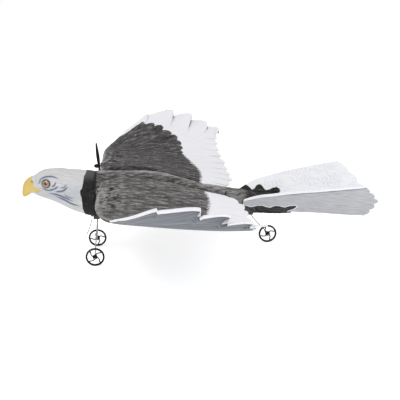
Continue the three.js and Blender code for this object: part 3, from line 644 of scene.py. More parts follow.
# Where the beak's yellow reaches on the side of the face, as an outline of (x, z).
YELLOW_FACE = [
    (-445, 95), (-409, 95), (-408, 76), (-405.5, 64), (-402, 52), (-396, 46.5), (-388, 44),
    (-386, 41), (-389, 38.2), (-398, 37.5), (-409, 36.5), (-413, 33), (-414, 27), (-414.5, 8),
    (-445, 8),
]

# Painted strokes on the side of the head: points (x, z), half width in millimetres.
FACE_STROKES = [
    ([(-389, 67), (-383, 72), (-376, 75.5), (-368, 77), (-357, 77), (-342, 72.5)], 1.8),
    ([(-348, 66), (-352, 59), (-359, 53)], 1.9),
    ([(-343, 56), (-353, 49), (-366, 46)], 2.0),
    ([(-382, 50), (-369, 45), (-357, 45)], 1.6),
    ([(-324, 61), (-329, 54), (-339, 51)], 1.5),
    ([(-321, 55), (-326, 49), (-335, 44), (-351, 42)], 2.4),
    ([(-366, 38), (-340, 32), (-310, 18)], 2.2),
    ([(-350, 29), (-334, 23), (-313, 11), (-295, 5)], 2.6),
    ([(-331, 36), (-318, 28), (-308, 27)], 1.3),
    ([(-391, 60), (-386, 66), (-385, 72)], 1.2),
]


def face_look(name, roughness, specular, coat):
    """Painted foam of the head and the beak: grey-white, with strokes, black and yellow fields."""
    look = Look(name, roughness=roughness, specular=specular, coat=coat)
    flow = look.attribute("flow", "Vector")
    strands = look.strands(flow, 0.03, 0.42, 4, 0.6, 0.4)
    cloud = look.noise(look.place(), 26.0, 3, 0.5)
    light = look.over(strands, 0.32, 0.7, paint(164, 165, 167), paint(190, 189, 189))
    shade = look.math("MULTIPLY", look.attribute("shade"), look.span(cloud, 0.25, 0.75, 0.7, 1.0))
    color = look.mix(look.math("MULTIPLY", shade, 0.6), light, paint(144, 149, 158))
    ragged = look.centred(look.strands(flow, 0.2, 0.6, 3, 0.6), 2.2)
    stroke = look.math("ADD", look.attribute("stroke"), ragged)
    color = look.mix(look.span(stroke, -1.2, 1.2, 0.0, 0.88), color, paint(78, 88, 112))
    band_streaks = look.noise(look.stretched(look.place(), (620, 620, 45)), 1.0, 3, 0.6)
    black = look.over(band_streaks, 0.35, 0.75, paint(13, 13, 14), paint(46, 45, 45))
    # The black band's top is lighter with painted light from above.
    band_lit_top = look.mix(look.span(look.attribute("band_lit_top"), 0.0, 1.0), black, paint(72, 70, 69))
    band_edge = look.edge("band", ragged, 0.7)
    color = look.over(band_edge, -0.9, 0.9, color, band_lit_top)
    yellow = look.over(cloud, 0.3, 0.7, paint(172, 148, 78), paint(190, 166, 94))
    # A painted highlight along the top of the beak, from the pale field.
    yellow = look.mix(look.scaled("pale", 0.4), yellow, paint(206, 192, 140))
    yellow_edge = look.edge("yellow", ragged, 0.5)
    color = look.over(yellow_edge, -0.8, 0.8, color, yellow)
    # Painted shade along the beak's gape.
    color = look.mix(look.scaled("crease_shade", 0.55), color, paint(150, 124, 84))
    # Painted shade in the ring round the eye's socket and in the nostril.
    color = look.mix(look.attribute("hollow_shade"), color, paint(66, 58, 50))
    rough = look.span(strands, 0.3, 0.7, roughness + 0.05, roughness - 0.08)
    height = look.weighted(strands, 0.7, foam_grain(look), 0.3)
    return look.finish(color, rough, height, 0.25, 0.0007)


def make_head():
    stations = np.linspace(BEAK_SEAM + SEAM_GAP / 2, NECK_SEAM - SEAM_GAP / 2, 110)
    angles = np.linspace(math.pi / 2, math.pi / 2 + 2 * math.pi, 190, endpoint=False)
    points, normal, s, _ = body_grid(HEAD_SECTIONS, stations, angles)
    girth = HEAD_GIRTH * (angles[None, :] - math.pi)
    x, z = points[..., 0], points[..., 2]
    lateral = np.abs(np.cos(angles))[None, :]
    groove = streaks(s, girth, 22, 4.2, 31)
    relief = 0.75 * (groove - 0.5)

    to_eye = np.hypot(x - EYE[0], z - EYE[1])
    relief -= 1.0 * np.exp(-(to_eye / 11.5) ** 4)
    brow, _ = line_distance(x, z, FACE_STROKES[0][0])
    relief += 1.7 * np.exp(-((brow - 2.2) / 3.4) ** 2) * (z > 62) * lateral
    stroke = np.full(x.shape, NO_STROKE)
    for route, half_width in FACE_STROKES:
        distance, where = line_distance(x, z, route)
        swelling = 1.25 * np.sin(math.pi * np.clip(where, 0.03, 0.97)) ** 0.7
        width = half_width * np.clip(swelling, 0.25, 1)
        stroke = np.maximum(stroke, width - distance)
    stroke = np.where(lateral > 0.25, stroke, NO_STROKE)
    relief -= 0.7 * smoothstep(stroke, -1.0, 1.5)

    band = polygon_depth(x, z, NECK_BAND)
    relief += 0.8 * smoothstep(band, -0.8, 1.2) * fall(x, -262, -258)
    fade = smoothstep(x, BEAK_SEAM, BEAK_SEAM + 4) * fall(x, NECK_SEAM - 2, NECK_SEAM)
    points = points + normal * (relief * fade)[..., None]
    shade = 0.75 * np.exp(-((z - 34 - 0.1 * (x + 340)) / 17) ** 2) * smoothstep(lateral, 0.3, 0.9)
    shade += 0.5 * np.exp(-(to_eye / 19) ** 2)
    # A ring of painted shade where the eye sits in its socket.
    socket = smoothstep(to_eye, EYE_RADIUS - 1.5, EYE_RADIUS)
    socket = socket * fall(to_eye, EYE_RADIUS + 0.8, EYE_RADIUS + 2.2)
    fields = {
        "yellow": polygon_depth(x, z, YELLOW_FACE), "hollow_shade": 0.8 * socket * (lateral > 0.3),
        "flow": flow_field(s, girth),
        "relief": groove, "stroke": stroke, "band": band, "shade": np.clip(shade, 0, 1),
        # Painted light on the upper part of the black band.
        "band_lit_top": smoothstep(z, 58, 84),
    }
    head = mesh_piece("head_foam", points.reshape(-1, 3), tube_faces(*points.shape[:2]),
                      face_look("foam_head", 0.84, 0.18, 0.0), replaces=["head_shell"],
                      slot="foam_head", fields=fields)
    cut_pocket(head, *GEAR_POCKET)


make_head()

# ---------- eyes ----------


def eye_look():
    look = Look("eye_gloss", roughness=0.12, specular=0.6, coat=0.6)
    ring = look.attribute("ring")
    fibres = look.noise(look.attribute("flow", "Vector"), 3.0, 3, 0.6)
    iris = look.over(fibres, 0.3, 0.7, paint(112, 80, 54), paint(166, 130, 96))
    color = look.over(ring, 0.38, 0.46, paint(34, 20, 14), iris)
    color = look.over(ring, 0.76, 0.86, color, paint(52, 42, 42))
    color = look.mix(look.span(look.attribute("glint"), 0.35, 0.65), color, paint(246, 240, 230))
    look.color(color)
    return look.material


EYE_LOOK = eye_look()
EYE_BULGE, EYE_BACK, EYE_SIDE = 3.8, 5.5, 30.4
EYE_FORWARD, EYE_UPWARD = math.radians(-10), math.radians(-13)
EYE_GLINT = (2.4, 2.8)


def make_eye(side, sign):
    """A domed eye with a rounded back, facing out of the head and a little forward."""
    rings, spokes = 30, 64
    theta = np.linspace(0.02, math.pi - 0.02, rings)[:, None]
    phi = np.linspace(0, 2 * math.pi, spokes, endpoint=False)[None, :]
    radius = EYE_RADIUS * np.sin(theta)
    rise = np.where(theta < math.pi / 2, EYE_BULGE, EYE_BACK) * np.cos(theta)
    level = np.broadcast_to(-rise, (rings, spokes))
    local = np.stack([radius * np.cos(phi), level, radius * np.sin(phi)], -1)
    lean = Matrix.Rotation(EYE_FORWARD, 3, "Z") @ Matrix.Rotation(EYE_UPWARD, 3, "X")
    points = local @ np.array(lean).T + (EYE[0], -EYE_SIDE, EYE[1])
    ring = np.where(theta < math.pi / 2, np.sin(theta), 1.0) * np.ones((1, spokes))
    glint = (local[..., 0] - EYE_GLINT[0]) ** 2 + (local[..., 2] - EYE_GLINT[1]) ** 2
    glint = np.exp(-glint / 1.3) * (theta < 1.4)
    flow = np.stack([8 * np.cos(phi) + 0 * theta, 8 * np.sin(phi) + 0 * theta, 0.6 * ring], -1)
    fields = {"ring": ring, "glint": glint, "flow": flow}
    mesh_piece(f"eye_{side}_dome", points.reshape(-1, 3) * (1, -sign, 1), tube_faces(rings, spokes),
               EYE_LOOK, replaces=[f"eye_{side}"], slot="eye_gloss", fields=fields)


for side, sign in SIDES.items():
    make_eye(side, sign)

# ---------- beak ----------

# Sections: a point on the spine (x, z), tilt of the section in degrees, half height, half width.
BEAK_SECTIONS = [
    (-398.1, 51.2, 0, 26.6, 24), (-408, 50, 3, 23, 18), (-417, 47.5, 8, 19.8, 13.2),
    (-424, 41, 16, 17, 10), (-428.5, 34, 20, 13, 8), (-432, 27.5, 22, 7.6, 5.4),
    (-433.6, 23.6, 24, 3, 2.2),
]
GAPE = [(-398, 37.5), (-409, 36.5), (-413, 33), (-415, 27)]
NOSTRIL = (-407, 63)
BEAK_GIRTH = 20
GAPE_DEPTH, NOSTRIL_DEPTH, MOUTH_DEPTH = 1.3, 1.4, 1.0


def make_beak():
    rows, columns = 80, 120
    spine = curve_points([(x, z, 0) for x, z, *_ in BEAK_SECTIONS], rows)
    chord = np.linspace(0, 1, rows)
    sections = np.array(BEAK_SECTIONS, float)
    base = np.concatenate([[0], np.cumsum(np.hypot(*np.diff(sections[:, :2], axis=0).T))])
    base /= base[-1]
    tilt, high, wide = (np.interp(chord, base, sections[:, k]) for k in (2, 3, 4))
    tilt = np.radians(tilt)
    for values in (tilt, high, wide):
        values[1:-1] = (values[:-2] + 2 * values[1:-1] + values[2:]) / 4
    angles = np.linspace(math.pi / 2, math.pi / 2 + 2 * math.pi, columns, endpoint=False)
    c, s = np.cos(angles), np.sin(angles)
    y = wide[:, None] * np.sign(c) * np.abs(c) ** FULLNESS
    rise = high[:, None] * np.sign(s) * np.abs(s) ** FULLNESS
    x = spine[:, :1] - rise * np.sin(tilt)[:, None]
    z = spine[:, 1:2] + rise * np.cos(tilt)[:, None]
    points = np.stack([x, y, z], -1)
    side = np.abs(c)[None, :]
    gape, _ = line_distance(x, z, GAPE)
    yellow = polygon_depth(x, z, YELLOW_FACE)
    # The gape is dented and darkened along it with painted shade.
    crease_shade = np.exp(-(gape / 1.4) ** 2) * side
    # The nostril: a dent, darkened with painted shade.
    leaning = (x - NOSTRIL[0]) + 0.5 * (z - NOSTRIL[1])
    nostril = np.exp(-((leaning / 2.6) ** 2 + ((z - NOSTRIL[1]) / 2.0) ** 2)) * (side > 0.2)
    recess = smoothstep(-yellow, -0.5, 1.5) * fall(x, -403, -399)
    inward = GAPE_DEPTH * crease_shade + NOSTRIL_DEPTH * nostril + MOUTH_DEPTH * recess
    centre = np.stack([spine[:, 0], 0 * spine[:, 0], spine[:, 1]], -1)[:, None, :]
    away = points - centre
    away /= np.maximum(np.linalg.norm(away, axis=-1, keepdims=True), 1e-6)
    fade = smoothstep(np.arange(rows), 0, 2)[:, None]
    points = points - away * (inward * fade)[..., None]
    fields = {
        "flow": flow_field(x, BEAK_GIRTH * angles[None, :]), "yellow": yellow,
        "crease_shade": np.clip(crease_shade, 0, 1), "hollow_shade": np.clip(nostril, 0, 1),
        # pale: a painted highlight along the top of the beak.
        "pale": smoothstep(z, 50, 80), "stroke": NO_STROKE, "band": OFF,
    }
    beak_look = face_look("beak_yellow", 0.56, 0.35, 0.08)
    mesh_piece("beak_moulded", points.reshape(-1, 3), tube_faces(rows, columns), beak_look,
               replaces=["beak"], slot="beak_yellow", fields=fields)


make_beak()

# ---------- wings ----------

# The right wing's outline: leading edge, trailing edge, tip and root as space curves.
LEADING_EDGE = [
    (-241, 36, 57), (-247, 100, 59), (-247, 180, 63), (-244, 258, 67), (-232, 308, 70),
    (-213, 352, 77), (-190, 392, 92),
]
TRAILING_EDGE = [
    (46, 9, 13), (66, 50, 18), (84, 100, 17.5), (87, 150, 18), (86, 207, 19), (86, 257, 23),
    (79, 305, 32), (76, 335, 42), (75, 355, 53), (74, 378, 66), (79, 425, 85),
]
WING_TIP = [
    (-190, 392, 92), (-123, 446, 123.5), (-42, 467, 117.5), (14, 464, 100), (54, 445, 87),
    (79, 425, 85),
]
WING_ROOT = [(-241, 36, 57), (-150, 36, 51), (-50, 22, 32), (46, 9, 13)]
TIP_BREAK = 0.72
ROOT_CAMBER, OUTER_CAMBER = 9, -9
ROOT_THICKNESS, TIP_THICKNESS, EDGE_THICKNESS = 25, 7, 4.5

# Feather tips: places along the trailing edge from the root, and along the wing tip from the front.
SECONDARY_TIPS = [0.0, 0.105, 0.218, 0.331, 0.449, 0.566, 0.682, 0.762, 0.822, 0.875, 0.935, 1.03]
PRIMARY_TIPS = [0.0, 0.321, 0.572, 0.739, 0.9, 1.0, 1.1]
SECONDARY_TOOTH = 10
PRIMARY_TOOTH = 15
PRIMARY_SPREAD = 0.65
PRIMARY_REACH = (0.55, 0.35, 1.14)
PRIMARY_LIFT_SKEW = 1.5
STRIP_TRIM = 13.0
FAR_WING_SHADE = 0.14
FRONT_DEPTH, FRONT_LUMPS = 52, 4.2
STRIP_WIDTH, BLUE_BEGINS = 5.5, 0.66

# Where the brown plumage ends: (place from leading to trailing edge, place from root to tip).
PAINT_EDGE = [
    (-0.1, -0.1), (0.86, -0.1), (0.835, 0.02), (0.783, 0.19), (0.746, 0.42), (0.716, 0.54),
    (0.686, 0.62), (0.667, 0.72), (0.67, 0.79), (0.632, 0.83), (0.602, 0.862), (0.5, 0.887),
    (0.44, 0.91), (0.34, 0.93), (0.22, 0.948), (0.13, 0.94), (0.03, 0.9), (-0.1, 0.87),
]
CHORD_SIZE, SPAN_SIZE = 300.0, 440.0
LOBE_WIDTH, FRINGE_WIDTH = 25.0, 11.0
BOOM_BROWN = 27.0
ROOT_BLEND, ROOT_INSET, ROOT_DIP = 0.055, 7.0, 17.0
FAN_CENTRE = (-330.0, 250.0)

THRUST_Y, THRUST_Z, HUB_X = 121, 62, -253
THRUST_DOWN = math.radians(5)
POD_COVER = 10.3
POD_BACK, POD_TAPER = 64.0, 26
POD_SOFTNESS, POD_SIDEWAYS = 0.18, 0.2


def coons(inner, outer, start, end, end_pull):
    """Fills four edge curves with a smooth grid of points."""
    u = np.linspace(0, 1, len(start))[None, :, None]
    v = np.linspace(0, 1, len(inner))[:, None, None]
    points = inner[:, None] * (1 - u) + outer[:, None] * u
    near_start = start - (inner[0] * (1 - u[0]) + outer[0] * u[0])
    near_end = end - (inner[-1] * (1 - u[0]) + outer[-1] * u[0])
    return points + near_start[None] * (1 - v) + near_end[None] * end_pull(v)


def lane(place, tips):
    """How far across its own feather a place lies (0..1, ending at the tip)."""
    index = np.interp(place, tips, np.arange(len(tips)))
    return index - np.floor(index)


def finger(across):
    """Outline of one feather end: a slow rise to the tip and a quick fall behind it."""
    return smoothstep(across, -0.25, 0.74) * fall(across, 0.80, 1.0)


def wing_flow(x, y):
    """Feather direction: straight back on the inner wing, fanning out toward the tip."""
    dx, dy = x - FAN_CENTRE[0], y - FAN_CENTRE[1]
    fanned = y > FAN_CENTRE[1]
    s = np.where(fanned, np.hypot(dx, dy) + FAN_CENTRE[0], x)
    t = np.where(fanned, FAN_CENTRE[1] - FAN_CENTRE[0] * np.arctan2(dy, np.maximum(dx, 1)), y)
    return s, t


def over_pod(points):
    """Pushes the wing's skin out, mostly up and down, to cover the motor."""
    axis = np.array((math.cos(THRUST_DOWN), 0, math.sin(THRUST_DOWN)))
    offset = points - np.array((HUB_X, THRUST_Y, THRUST_Z))
    along = offset @ axis
    away = offset - along[:, None] * axis
    distance = np.linalg.norm(away, axis=1)
    cover = POD_COVER * fall(along, POD_BACK - POD_TAPER, POD_BACK)
    near = (along > 0) & (along < POD_BACK) & (distance < 2.0 * cover)
    inside = np.clip(distance / np.maximum(cover, 1), 0, 1)
    lifted = cover * (1 - POD_SOFTNESS * inside ** 2) + POD_SOFTNESS * distance
    lifted = np.maximum(distance, lifted)
    push = away * (np.where(near, lifted / np.maximum(distance, 0.3), 1.0)[:, None] - 1)
    push[:, 1] *= POD_SIDEWAYS
    return points + push


def make_wing(side, sign):
    rows, columns = 231, 141
    u = np.linspace(0, 1, columns)[None, :]
    v = np.linspace(0, 1, rows)[:, None]
    middle = coons(
        curve_points(LEADING_EDGE, rows), curve_points(TRAILING_EDGE, rows),
        curve_points(WING_ROOT, columns), curve_points(WING_TIP, columns),
        lambda w: np.maximum(0, (w - TIP_BREAK) / (1 - TIP_BREAK)) ** 1.2)
    secondary_across, primary_across = lane(v, SECONDARY_TIPS), lane(u, PRIMARY_TIPS)
    back_reach = smoothstep(u, 0.8, 1.0) * SECONDARY_TOOTH * finger(1 - secondary_across)
    middle[..., 0] += back_reach * fall(v, 0.96, 1)
    tip_reach = smoothstep(v, 0.86, 1.0) * PRIMARY_TOOTH * finger(primary_across)
    tip_reach = tip_reach * smoothstep(u, 0, 0.05)
    back, out, lift = PRIMARY_REACH
    rise = np.sin(math.pi * u ** PRIMARY_LIFT_SKEW)
    reach = np.stack([back + PRIMARY_SPREAD * u, out + 0 * u, lift * rise], -1)
    middle += tip_reach[..., None] * reach

    profile = np.sqrt(u) * (1 - u) * 2.6
    full = ROOT_THICKNESS + (TIP_THICKNESS - ROOT_THICKNESS) * v
    edge_round = np.sqrt(np.clip(u / 0.012, 0.1, 1)) * np.sqrt(np.clip((1 - u) / 0.012, 0.35, 1))
    half = (EDGE_THICKNESS * edge_round + (full - EDGE_THICKNESS) * profile) / 2
    camber = ROOT_CAMBER + (OUTER_CAMBER - ROOT_CAMBER) * smoothstep(v, 0, 0.8)
    camber = camber * np.minimum(1, 5 * (1 - v)) * profile

    x, y = middle[..., 0], middle[..., 1]
    s, t = wing_flow(x, y)
    brown = polygon_depth(u * CHORD_SIZE + 0 * v, v * SPAN_SIZE + 0 * u,
                          [(a * CHORD_SIZE, b * SPAN_SIZE) for a, b in PAINT_EDGE])
    if sign < 0:
        wave = 6.0 * (value_noise(u * 16 + 0 * v, v * 4, 67) - 0.5)
        brown = brown + (STRIP_TRIM + wave) * fall(u, 0.58, 0.68) * smoothstep(v, 0.8, 0.9)
    rounded = np.abs(np.sin(math.pi * t / LOBE_WIDTH)) ** 0.7 - 0.6
    pointed = np.abs(np.mod(t / FRINGE_WIDTH, 1.0) - 0.5) * 2 - 0.5
    scallop = 8.0 * rounded * smoothstep(v, 0.6, 0.75) + 9.0 * pointed * fall(v, 0.6, 0.75)
    scallop = scallop * smoothstep(u, 0.1, 0.3)
    white = np.minimum(-(brown + scallop), np.abs(y) - BOOM_BROWN)
    if sign > 0:
        wavy = 0.75 + 0.5 * value_noise(v * 26 + 0 * u, u * 3, 63)
        leading_strip = STRIP_WIDTH * smoothstep(v, 0.84, 0.97) * wavy - u * CHORD_SIZE - 1.0
        white = np.maximum(white, np.where(v > 0.85, leading_strip, OFF))
    else:
        white = np.maximum(white, OFF)
    from_front = u * CHORD_SIZE + 0 * v

    relief, tone = plumage_relief(s, t, 53, row=30, width=21, scales=1.5, grooves=1.0)
    front_lumps = shingles(s, t, 20, 16, 71)
    front = np.exp(-(from_front / FRONT_DEPTH) ** 2) * fall(v, 0.55, 0.85)
    relief = relief * (1 - front) + front * (FRONT_LUMPS * front_lumps + 0.8 * tone)
    # On the front the tone follows the lumps' height: painted shade between them.
    tone = tone * (1 - front) + front * np.clip(0.72 * front_lumps + 0.25 * tone, 0, 1)
    # A painted highlight along the leading edge; the outer wing a little lighter.
    tone = tone + 0.25 * np.exp(-(from_front / 7) ** 2) + 0.06 * smoothstep(v, 0.68, 0.85)
    # Painted shade over the whole far wing.
    tone = tone - FAR_WING_SHADE * (sign > 0)
    # Painted shade on the wing beside its root, where it meets the body.
    tone = np.clip(tone - 0.13 * np.exp(-((v * SPAN_SIZE - 14) / 9) ** 2), 0, 1)
    inner = smoothstep(v, 0.10, 0.2) * fall(v, 0.7, 0.86)
    tone = np.clip(tone + inner * front * (0.55 * value_noise(s / 9, t / 10, 79) - 0.2), 0, 1)
    # Painted shade in dark creases among the lumps at the front of the inner wing.
    crease_shade = smoothstep(value_noise(s / 6, t / 9, 78), 0.6, 0.85) * smoothstep(front, 0.25, 0.6)
    crease_shade = 1.1 * crease_shade * inner * smoothstep(from_front, 6, 14)
    in_white = smoothstep(white, -1, 2)
    barbs = 0.35 * (streaks(s, t, 30, 2.6, 91) - 0.5)
    overlap_back = (1 - secondary_across) * smoothstep(u, 0.72, 0.9) * fall(v, 0.9, 0.97)
    overlap_tip = 0.35 * primary_across * smoothstep(v, 0.9, 0.97)
    ledge = 1.3 * np.maximum(overlap_back, overlap_tip)
    relief = relief * (1 - in_white) + in_white * (barbs + ledge - 0.9)
    tone = tone * (1 - in_white) + in_white * 0.5
    fade = smoothstep(u, 0, 0.02) * fall(u, 0.985, 1) * fall(v, 0.985, 1)

    root_fillet = 6.0 * np.exp(-(v * SPAN_SIZE / 26) ** 2) * smoothstep(u, 0.0, 0.2)
    root_fillet = root_fillet * fall(u, 0.45, 0.8)
    buried = 1 - smoothstep(v, 0, ROOT_BLEND)
    middle[..., 1] -= ROOT_INSET * buried
    middle[..., 2] -= ROOT_DIP * buried
    top = middle.copy()
    top[..., 2] += camber + half + relief * fade + root_fillet
    under_streaks = streaks(s, t, 60, 5.0, 97)
    bottom = middle.copy()
    bottom[..., 2] += camber - half - (0.9 * (under_streaks - 0.5) - 0.8 * overlap_back) * fade

    points, faces = closed_panel(top, bottom)
    points = over_pod(points)

    # Painted shadow under the ends of the feathers, at the notches of the edges.
    back_notch_shadow = np.exp(-(secondary_across / 0.06) ** 2) * smoothstep(u, 0.86, 0.96)
    far_notch_shadow = 0.45 * np.exp(-((1 - primary_across) / 0.05) ** 2) * smoothstep(v, 0.94, 0.98)
    tip_shadows = np.maximum(0.8 * back_notch_shadow * fall(v, 0.9, 0.97), far_notch_shadow) * in_white
    under_rim = np.minimum(from_front, (1 - v) * SPAN_SIZE + 0 * u)
    under_line = np.exp(-((under_rim - 6.0) / 2.0) ** 2) * smoothstep(v, 0.5, 0.62)
    quill = np.exp(-((secondary_across - 0.5) / 0.02) ** 2) * smoothstep(u, 0.35, 0.6)
    under_line = np.maximum(under_line, quill)
    rim = np.minimum(under_rim, (1 - u) * CHORD_SIZE)
    under = smoothstep(rim, 1.2, 3.6) * 6 - 3
    blue = (v - BLUE_BEGINS) * 90 + 0.12 * from_front + 1.4 * np.maximum(from_front - 60, 0)
    under = np.minimum(under, blue)
    white_below = np.where((v > 0.88) | (u > 0.8), 50.0, white)
    fields = {
        "relief": (tone, np.clip(under_streaks, 0, 1)), "white": (white, white_below),
        "under": (OFF, under), "band": (OFF, OFF), "crease_shade": (crease_shade, 0.0),
        "line": (tip_shadows, under_line),
    }
    panel_piece(f"wing_{side}_foam", points * (1, sign, 1), faces, PLUMAGE, f"wing_{side}",
                "foam_wing", flow_field(s, t), fields, s.shape)


for side, sign in SIDES.items():
    make_wing(side, sign)

# ---------- tail ----------

TAIL_VALLEY = [(104, 7, -18), (180, 5.5, -29), (250, 1.6, -36), (320, 1.2, -42), (422, 1.2, -53)]
TAIL_OUTER = [
    (104, 44, 13), (141, 64, 28), (165, 73, 33), (215, 85, 42), (270, 99, 49), (330, 109, 56),
    (378, 115, 61),
]
TAIL_FULLNESS = 32
TAIL_LOBES = 5
TAIL_POINT = 5.0
BARB_LENGTH = 9.5
TAIL_LOBE_DEPTH = 9
TAIL_THICKNESS = 7
TAIL_WIDTH, TAIL_LENGTH = 150, 300
TAIL_HALF_GAP = 0.5
TAIL_NORMAL = np.array((0, -0.68, 0.73))

# Dark plumage over the root of the tail, in plan (x, distance from the middle): above and below.
TAIL_DARK_ABOVE = [
    (60, -9), (60, 70), (106, 60), (118, 55), (126, 52), (132, 47), (137, 42), (143, 44), (150, 52),
    (157, 56), (164, 54), (169, 47), (173, 43), (182, 45), (192, 49), (203, 51), (209, 48),
    (211, 42), (205, 36), (222, 30), (236, 20), (240, 8), (246, -9),
]
TAIL_DARK_BELOW = [
    (60, -9), (60, 40), (108, 22), (126, 14), (139, 23), (153, 26), (162, 22), (172, 19), (182, 27),
    (191, 29), (201, 26), (210, 22), (221, 29), (233, 32), (240, 28), (236, 17), (222, 8),
    (212, -9),
]


def tail_width(share, v):
    """A share of the panel's width at v, in millimetres."""
    return share * TAIL_WIDTH * (0.35 + 0.65 * v)


def make_tail_panel(side, sign):
    rows, columns = 151, 101
    u = np.linspace(0, 1, columns)[None, :]
    v = np.linspace(0, 1, rows)[:, None]
    valley = curve_points(TAIL_VALLEY, rows)
    outer = curve_points(TAIL_OUTER, rows)
    across = u[0][:, None]
    start = valley[0] * (1 - across) + outer[0] * across
    end = valley[-1] * (1 - across) + outer[-1] * across
    lobe = np.abs(np.sin(math.pi * TAIL_LOBES * across[:, 0])) ** 0.55
    end[:, 0] += TAIL_FULLNESS * np.sin(math.pi * across[:, 0]) ** 0.8
    end[:, 0] += TAIL_POINT * np.exp(-((across[:, 0] - 0.5) / 0.08) ** 2)
    middle = coons(valley, outer, start, end, lambda w: w)
    notch = TAIL_LOBE_DEPTH * (lobe[None, :] - 0.85) * smoothstep(v, 0.9, 1.0)
    middle[..., 0] += notch * smoothstep(np.minimum(u, 1 - u), 0, 0.04)

    s = middle[..., 0]
    t = tail_width(u, v)
    lane_place = u * TAIL_LOBES
    within = lane_place - np.floor(lane_place)
    wander = 1.3 * value_noise(s / 22, t / 7, 123)
    barb = np.sin(2 * math.pi * (s / BARB_LENGTH + 1.1 * np.abs(within - 0.5) + wander))
    soft = 0.5 * value_noise(s / 26, t / 14, 121) + 0.5 * value_noise(s / 11, t / 4.5, 122)
    barred = smoothstep(soft, 0.3, 0.62) * smoothstep(v, 0.1, 0.3) * (0.5 + 0.5 * barb)
    groove = streaks(s, t, 26, 3.0, 131)
    parting = np.exp(-((np.minimum(within, 1 - within)) / 0.05) ** 2) * smoothstep(v, 0.2, 0.5)
    dark_above, dark_below = (
        polygon_depth(s, middle[..., 1], outline) for outline in (TAIL_DARK_ABOVE, TAIL_DARK_BELOW))
    raised = smoothstep(dark_above, -1, 2)
    height_above = 0.35 * barb * smoothstep(v, 0.1, 0.4) - 0.8 * parting + 1.2 * raised * groove
    height_below = 0.8 * (groove - 0.5) - 0.8 * parting
    height_below = height_below + 1.0 * smoothstep(dark_below, -1, 2) * groove
    edge = np.minimum(1, 3 * np.minimum(1 - u, 1 - v) + 0.45)
    from_edge = tail_width(1 - u, v)
    rim = np.minimum(from_edge, (1 - v) * TAIL_LENGTH)
    fade = smoothstep(rim, 0, 4)
    half = TAIL_THICKNESS * edge / 2
    top = middle + TAIL_NORMAL * (half + height_above * fade)[..., None]
    bottom = middle - TAIL_NORMAL * (half + height_below * fade)[..., None]
    for skin in (top, bottom):
        skin[..., 1] = np.maximum(skin[..., 1], TAIL_HALF_GAP)
    points, faces = closed_panel(top, bottom)
    under = smoothstep(from_edge, 5.0, 7.0) * smoothstep(rim, 0.2, 1.4) * 6 - 3
    line = np.exp(-((from_edge - 8.0) / 1.6) ** 2) * smoothstep(v, 0.25, 0.45)
    fields = {
        "relief": (groove, groove), "white": (-dark_above, -dark_below),
        "under": (OFF, np.where(dark_below > -1.5, OFF, under)), "barred": (barred, 0.0),
        "line": (0.0, line), "band": (OFF, OFF),
    }
    panel_piece(f"tail_{side}_foam", points * (1, sign, 1), faces, TAIL_LOOK, f"tail_panel_{side}",
                "foam_tail", flow_field(s, t), fields, s.shape)


def tail_look():
    look = Look("foam_tail", roughness=0.85, specular=0.18, sheen=0.05)
    flow = look.attribute("flow", "Vector")
    strands = look.strands(flow, 0.03, 0.3, 5, 0.6, 0.3)
    white = look.mix(strands, paint(203, 204, 208), paint(219, 219, 222))
    white = look.mix(look.scaled("barred", 0.55), white, paint(186, 187, 194))
    blue = look.over(strands, 0.3, 0.7, paint(142, 144, 148), paint(168, 169, 172))
    color = look.mix(look.span(look.attribute("under"), -1.0, 1.0), white, blue)
    color = look.mix(look.scaled("line", 0.75), color, paint(78, 80, 86))
    brown, _ = feather_color(look, paint(12, 12, 12), paint(30, 30, 29), paint(64, 62, 60))
    ragged = look.centred(look.strands(flow, 0.2, 0.4, 3, 0.6), 3.0)
    dark = look.math("SUBTRACT", ragged, look.attribute("white"))
    color = look.over(dark, -0.9, 0.9, color, brown)
    height = look.weighted(strands, 0.6, foam_grain(look), 0.3)
    return look.finish(color, look.span(strands, 0.3, 0.7, 0.9, 0.78), height, 0.3, 0.0008)


TAIL_LOOK = tail_look()
for side, sign in SIDES.items():
    make_tail_panel(side, sign)


KEEL_DARKER = 0.3
KEEL_END = 232


def make_keel():
    """The plumed keel between the tail panels, tapering to the rear."""
    stations = np.linspace(TAIL_SEAM + GAP / 2, KEEL_END, 100)
    angles = np.linspace(math.pi / 2, math.pi / 2 + 2 * math.pi, 120, endpoint=False)
    points, normal, s, t = body_grid(TAIL_SECTIONS, stations, angles)
    relief, tone = plumage_relief(s, t, 151, row=20, width=12, scales=1.0, grooves=1.0)
    fade = smoothstep(s, TAIL_SEAM, TAIL_SEAM + 4) * fall(s, KEEL_END - 6, KEEL_END)
    slit = tail_slit(points)
    points = points + normal * (relief * fade - SLIT_DEPTH * slit)[..., None]
    tone = tone + BOOM_LIGHTER * fall(s, 95, 125) - KEEL_DARKER * smoothstep(s, 98, 130)
    # The slit is darkened with painted shade as well as dented.
    mesh_piece("tail_keel_foam", points.reshape(-1, 3), tube_faces(*points.shape[:2]), PLUMAGE,
               replaces=["tail_keel_fairing"], slot="foam_tail",
               fields=body_fields(s, t, np.clip(tone, 0, 1), crease_shade=slit))


make_keel()

# ---------- wheels, propellers and wires ----------

WHEEL_RADIUS = 23.2
WHEEL_RIM = 3.6
WHEEL_WIDTH = 5.6
WHEEL_HUB = 5.6
SPOKES = 4
SPOKE_SWING = 0.5
AXLE_BORE = 1.4
RIM_SIDES, HUB_SIDES = 96, 48


